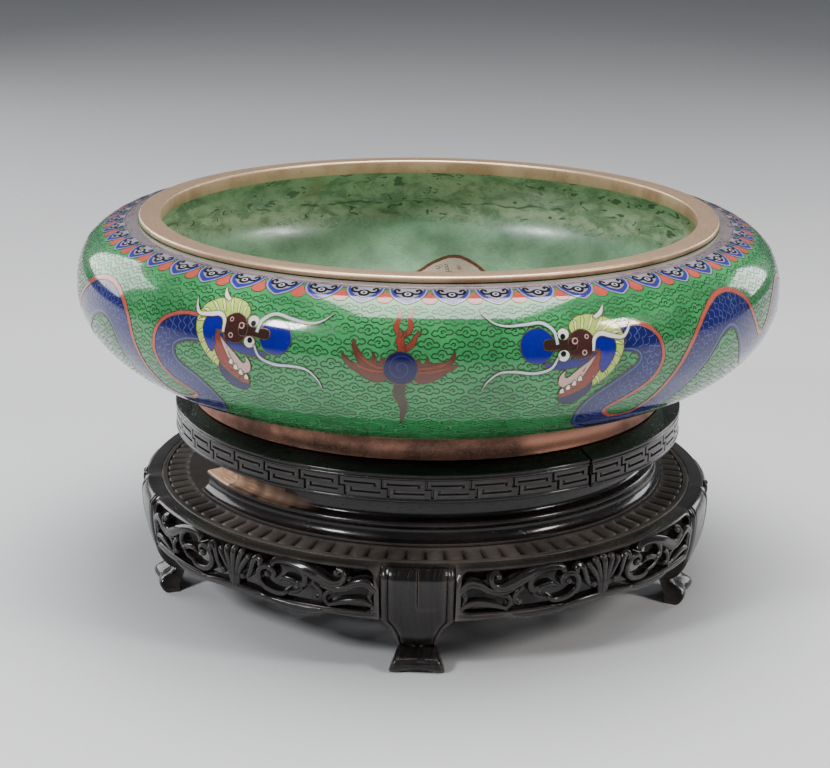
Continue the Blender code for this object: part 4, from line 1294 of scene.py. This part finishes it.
# The plate, with its window.
below = np.linspace(-apron_half, apron_half, 54)
edge = [Vector(spot) for spot in zip(below, np.interp(abs(below), *zip(*lower_edge)))]
edge += [Vector((apron_half, 30.0)), Vector((apron_half, 37.0))]
edge += [Vector((place, stand_top * 1000.0)) for place in below[::-1]]
edge += [Vector((-apron_half, 37.0)), Vector((-apron_half, 30.0))]
reach = apron_half - 1.7 - window_corner
low_corner = window_low + window_corner
high_corner = window_high - window_corner
window = [Vector((place, window_low)) for place in np.linspace(-reach, reach, 50)]
window += arc_round((reach, low_corner), window_corner, -75.0, 0.0, 6)
window += arc_round((reach, high_corner), window_corner, 0.0, 90.0, 7)
window += [Vector((place, window_high)) for place in np.linspace(reach, -reach, 50)[1:-1]]
window += arc_round((-reach, high_corner), window_corner, 90.0, 180.0, 7)
window += arc_round((-reach, low_corner), window_corner, 180.0, 255.0, 6)
lines = [(first + index, first + (index + 1) % len(loop))
         for first, loop in ((0, edge), (len(edge), window)) for index in range(len(loop))]
spots, _, triangles = delaunay_2d_cdt(edge + window, lines, [], 0, 1e-4)[:3]
kept = [triangle for triangle in triangles if inside_loop(middle_of(spots, triangle), edge)
        and not inside_loop(middle_of(spots, triangle), window)]
used = {(triangle[index - 1], triangle[index]) for triangle in kept for index in range(3)}
total = len(spots)
add_carving([(*spot, depth) for depth in (0.35, 6.6) for spot in spots],
            kept + [[total + corner for corner in triangle[::-1]] for triangle in kept]
            + [(two, one, total + one, total + two) for one, two in used if (two, one) not in used])
carve([window[-1]] + window + [window[0]], [1.2, 1.2], 1.7, 0, 1, 1.0)
carve(*fan_middle)
knob(*fan_tip)
for side in (1.0, -1.0):
    for path, *shape in branches:
        carve([(side * x, y) for x, y in path], *shape)
    for x, *shape in apron_balls:
        knob(side * x, *shape)
apron_points = np.array(apron_points)

for number in range(5):
    # Each panel is bent round the stand's outline, about its own azimuth.
    first_leg = leg_azimuths[number]
    next_leg = leg_azimuths[(number + 1) % 5] + (360.0 if number == 4 else 0.0)
    stretch = (0.5 * (next_leg - first_leg) - leg_half_angle - 0.137) / (36.0 - leg_half_angle - 0.137)
    turn = 0.5 * (first_leg + next_leg) + np.degrees(stretch * apron_points[:,
                                                                            0] / (shoulder_radius * 1000.0))
    level = apron_points[:, 1] * 0.001
    away = np.interp(level, outline_levels, outline_radii) - apron_points[:, 2] * 0.001
    away = np.where(level > deck_bottom - 0.0005, np.maximum(away, deck_radius + 0.0003), away)
    panel = new_piece(f"apron_panel_{number + 1}", polar(away, turn, level), apron_faces, [dark_wood])
    close_up(panel, 48.0, 1e-8)
    wood_marks(panel, "round", 0.9)
    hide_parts(f"apron_{number + 1}")
    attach(panel, "root")


# The legs.
# Each of the five legs is one block: a rounded shoulder with a bead down each side, a narrow waist and a
# hoof that turns out and stands on its two toes. The front leg shows the line of an old crack.
leg_inner = 0.1040
inner_foot = 0.10939
shin_top = 0.0235
foot_outer = ([0.0, 0.0012, 0.0030, 0.0048, 0.0064, 0.0080, 0.0100],
              [0.1190, 0.1202, 0.1212, 0.1210, 0.1194, 0.1163, 0.1138])
foot_half = ([0.0, 0.0010, 0.0025, 0.0045, 0.0070, 0.0085, 0.0100],
             [0.0118, 0.0117, 0.0111, 0.0102, 0.0092, 0.0087, 0.0086])
foot_inner = ([0.0, 0.0030, 0.0070, waist_level], [0.1132, 0.1128, 0.1108, inner_foot])


def leg_sizes(height):
    """Outer radius, inner radius and half width of a leg at a height."""
    if height < waist_level:
        return [np.interp(height, *line) for line in (foot_outer, foot_inner, foot_half)]
    share = min(1.0, (height - waist_level) / (shin_top - waist_level))
    inner = inner_foot if height < shin_top - 0.0001 else leg_inner
    if height > deck_bottom - 0.0003:
        inner = deck_radius + 0.0003
    return stand_outline(height), inner, 0.0086 + 0.0062 * share ** 2.4


leg_levels = sorted({0.0, 0.0004, 0.0010, 0.0018, 0.0450, stand_top, shin_top - 0.0002, shin_top,
                     deck_bottom - 0.0004, deck_bottom - 0.0002}
                    | {round(0.0026 + 0.0008 * index, 5) for index in range(10)}
                    | {round(0.0104 + 0.0011 * index, 5) for index in range(31)})
leg_shares = [1.0, 0.985, 0.95, 0.90, 0.86, 0.82, 0.79, 0.76, 0.73, 0.6, 0.45, 0.3, 0.15, 0.05, 0.02]
leg_shares = [-share for share in leg_shares] + [0.0] + leg_shares[::-1]
back_shares = [1.0, 0.8, 0.5, 0.25, 0.0, -0.25, -0.5, -0.8, -1.0]

for number, middle in enumerate(leg_azimuths):
    points = []
    for level in [level for level in leg_levels if level <= stand_top]:
        outer, inner, half = leg_sizes(level)
        reaches = []
        for share in leg_shares:
            aside = abs(share)
            reach = outer - 0.0012 * max(0.0, (aside - 0.90) / 0.10) ** 2.0
            if level > 0.0090:
                reach -= 0.00060 * max(0.0, 1.0 - abs(aside - 0.79) / 0.05)
                reach += 0.00030 * max(0.0, 1.0 - abs(aside - 0.885) / 0.08)
            else:
                reach -= 0.0014 * max(0.0, 1.0 - aside / 0.75) ** 1.3 * min(1.0, level / 0.004)
            if number == 0:
                reach -= 0.0006 * (share == 0.0 and level > 0.0305)
                reach -= 0.00035 * (0.0297 < level < 0.0312 and -0.01 < share < 0.5)
            reaches.append(reach)
        for share, reach in zip(leg_shares + back_shares, reaches + [inner] * len(back_shares)):
            across = share * half
            # The foot is hollowed below between its two toes.
            hollow = 0.0015 * max(0.0, 1.0 - (across / (half - 0.0038)) ** 2) * max(0.0, 1.0 - level / 0.0045)
            turn = degrees(asin(across / shoulder_radius)) * min(1.0, shoulder_radius / reach)
            points.append(polar(reach, middle + turn, level + hollow))
    size = len(leg_shares) + len(back_shares)
    faces = net(len(points) // size, size, close_columns=True)
    faces += [range(len(points) - size, len(points)), range(size)[::-1]]
    leg = close_up(new_piece(f"leg_block_{number + 1}", points, faces, [dark_wood]), 42.0)
    wood_marks(leg, "upright", 0.6)
    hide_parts(f"leg_{number + 1}")
    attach(leg, "root")


# The floor, the lights and the camera.
# A plain pale floor with soft light from above and both sides, seen from the photograph's place.
floor_paint, shader, place = new_finish("floor_paint")
feed(shader, {"Base Color": blend(grain_of(place, 3.0, 2.0), (0.62, 0.62, 0.63), (0.68, 0.68, 0.69)),
              "Roughness": 0.75})
floor = new_piece("floor", [(-4.0, -4.0), (4.0, -4.0), (4.0, 4.0), (-4.0, 4.0)], [(0, 1, 2, 3)],
                  [floor_paint])

world = bpy.data.worlds.new("soft_room")
world.use_nodes = True
feed(world.node_tree.nodes["Background"], {0: (0.80, 0.84, 0.90), 1: 0.17})
bpy.context.scene.world = world


def soft_light(name, place, target_level, wide, tall, power, colour):
    lamp = bpy.data.lights.new(name, "AREA")
    lamp.shape = "RECTANGLE"
    lamp.size = wide
    lamp.size_y = tall
    lamp.energy = power
    lamp.color = colour
    item = show(name, lamp)
    item.location = place
    item.rotation_mode = "QUATERNION"
    item.rotation_quaternion = (Vector((0.0, 0.0, target_level)) - Vector(place)).to_track_quat("-Z", "Y")
    item.visible_camera = False


soft_light("top_light", (0.05, 0.0, 1.0), 0.10, 0.80, 0.60, 15.0, (1.0, 1.0, 1.0))
soft_light("left_light", (-0.85, -0.80, 0.85), 0.08, 0.24, 0.24, 12.0, (0.95, 0.97, 1.0))
soft_light("right_light", (1.0, -0.50, 0.75), 0.08, 0.20, 0.30, 7.5, (1.0, 0.97, 0.93))
soft_light("back_left_light", (-1.20, 0.85, 0.60), 0.12, 0.90, 0.80, 11.0, (0.97, 0.98, 1.0))
soft_light("back_right_light", (1.20, 0.95, 0.50), 0.12, 0.50, 0.60, 5.0, (0.97, 0.98, 1.0))

lens = bpy.data.cameras.new("camera")
lens.sensor_width = 36.0
lens.lens = 1955.0 / 830.0 * 36.0
lens.clip_start = 0.05
camera = show("camera", lens)
camera.location = (-0.005, -0.825, 0.3333)
tilt = Matrix.Rotation(radians(90.0 - 16.86), 3, "X") @ Matrix.Rotation(radians(0.75), 3, "Z")
camera.rotation_euler = tilt.to_euler()
bpy.context.scene.camera = camera
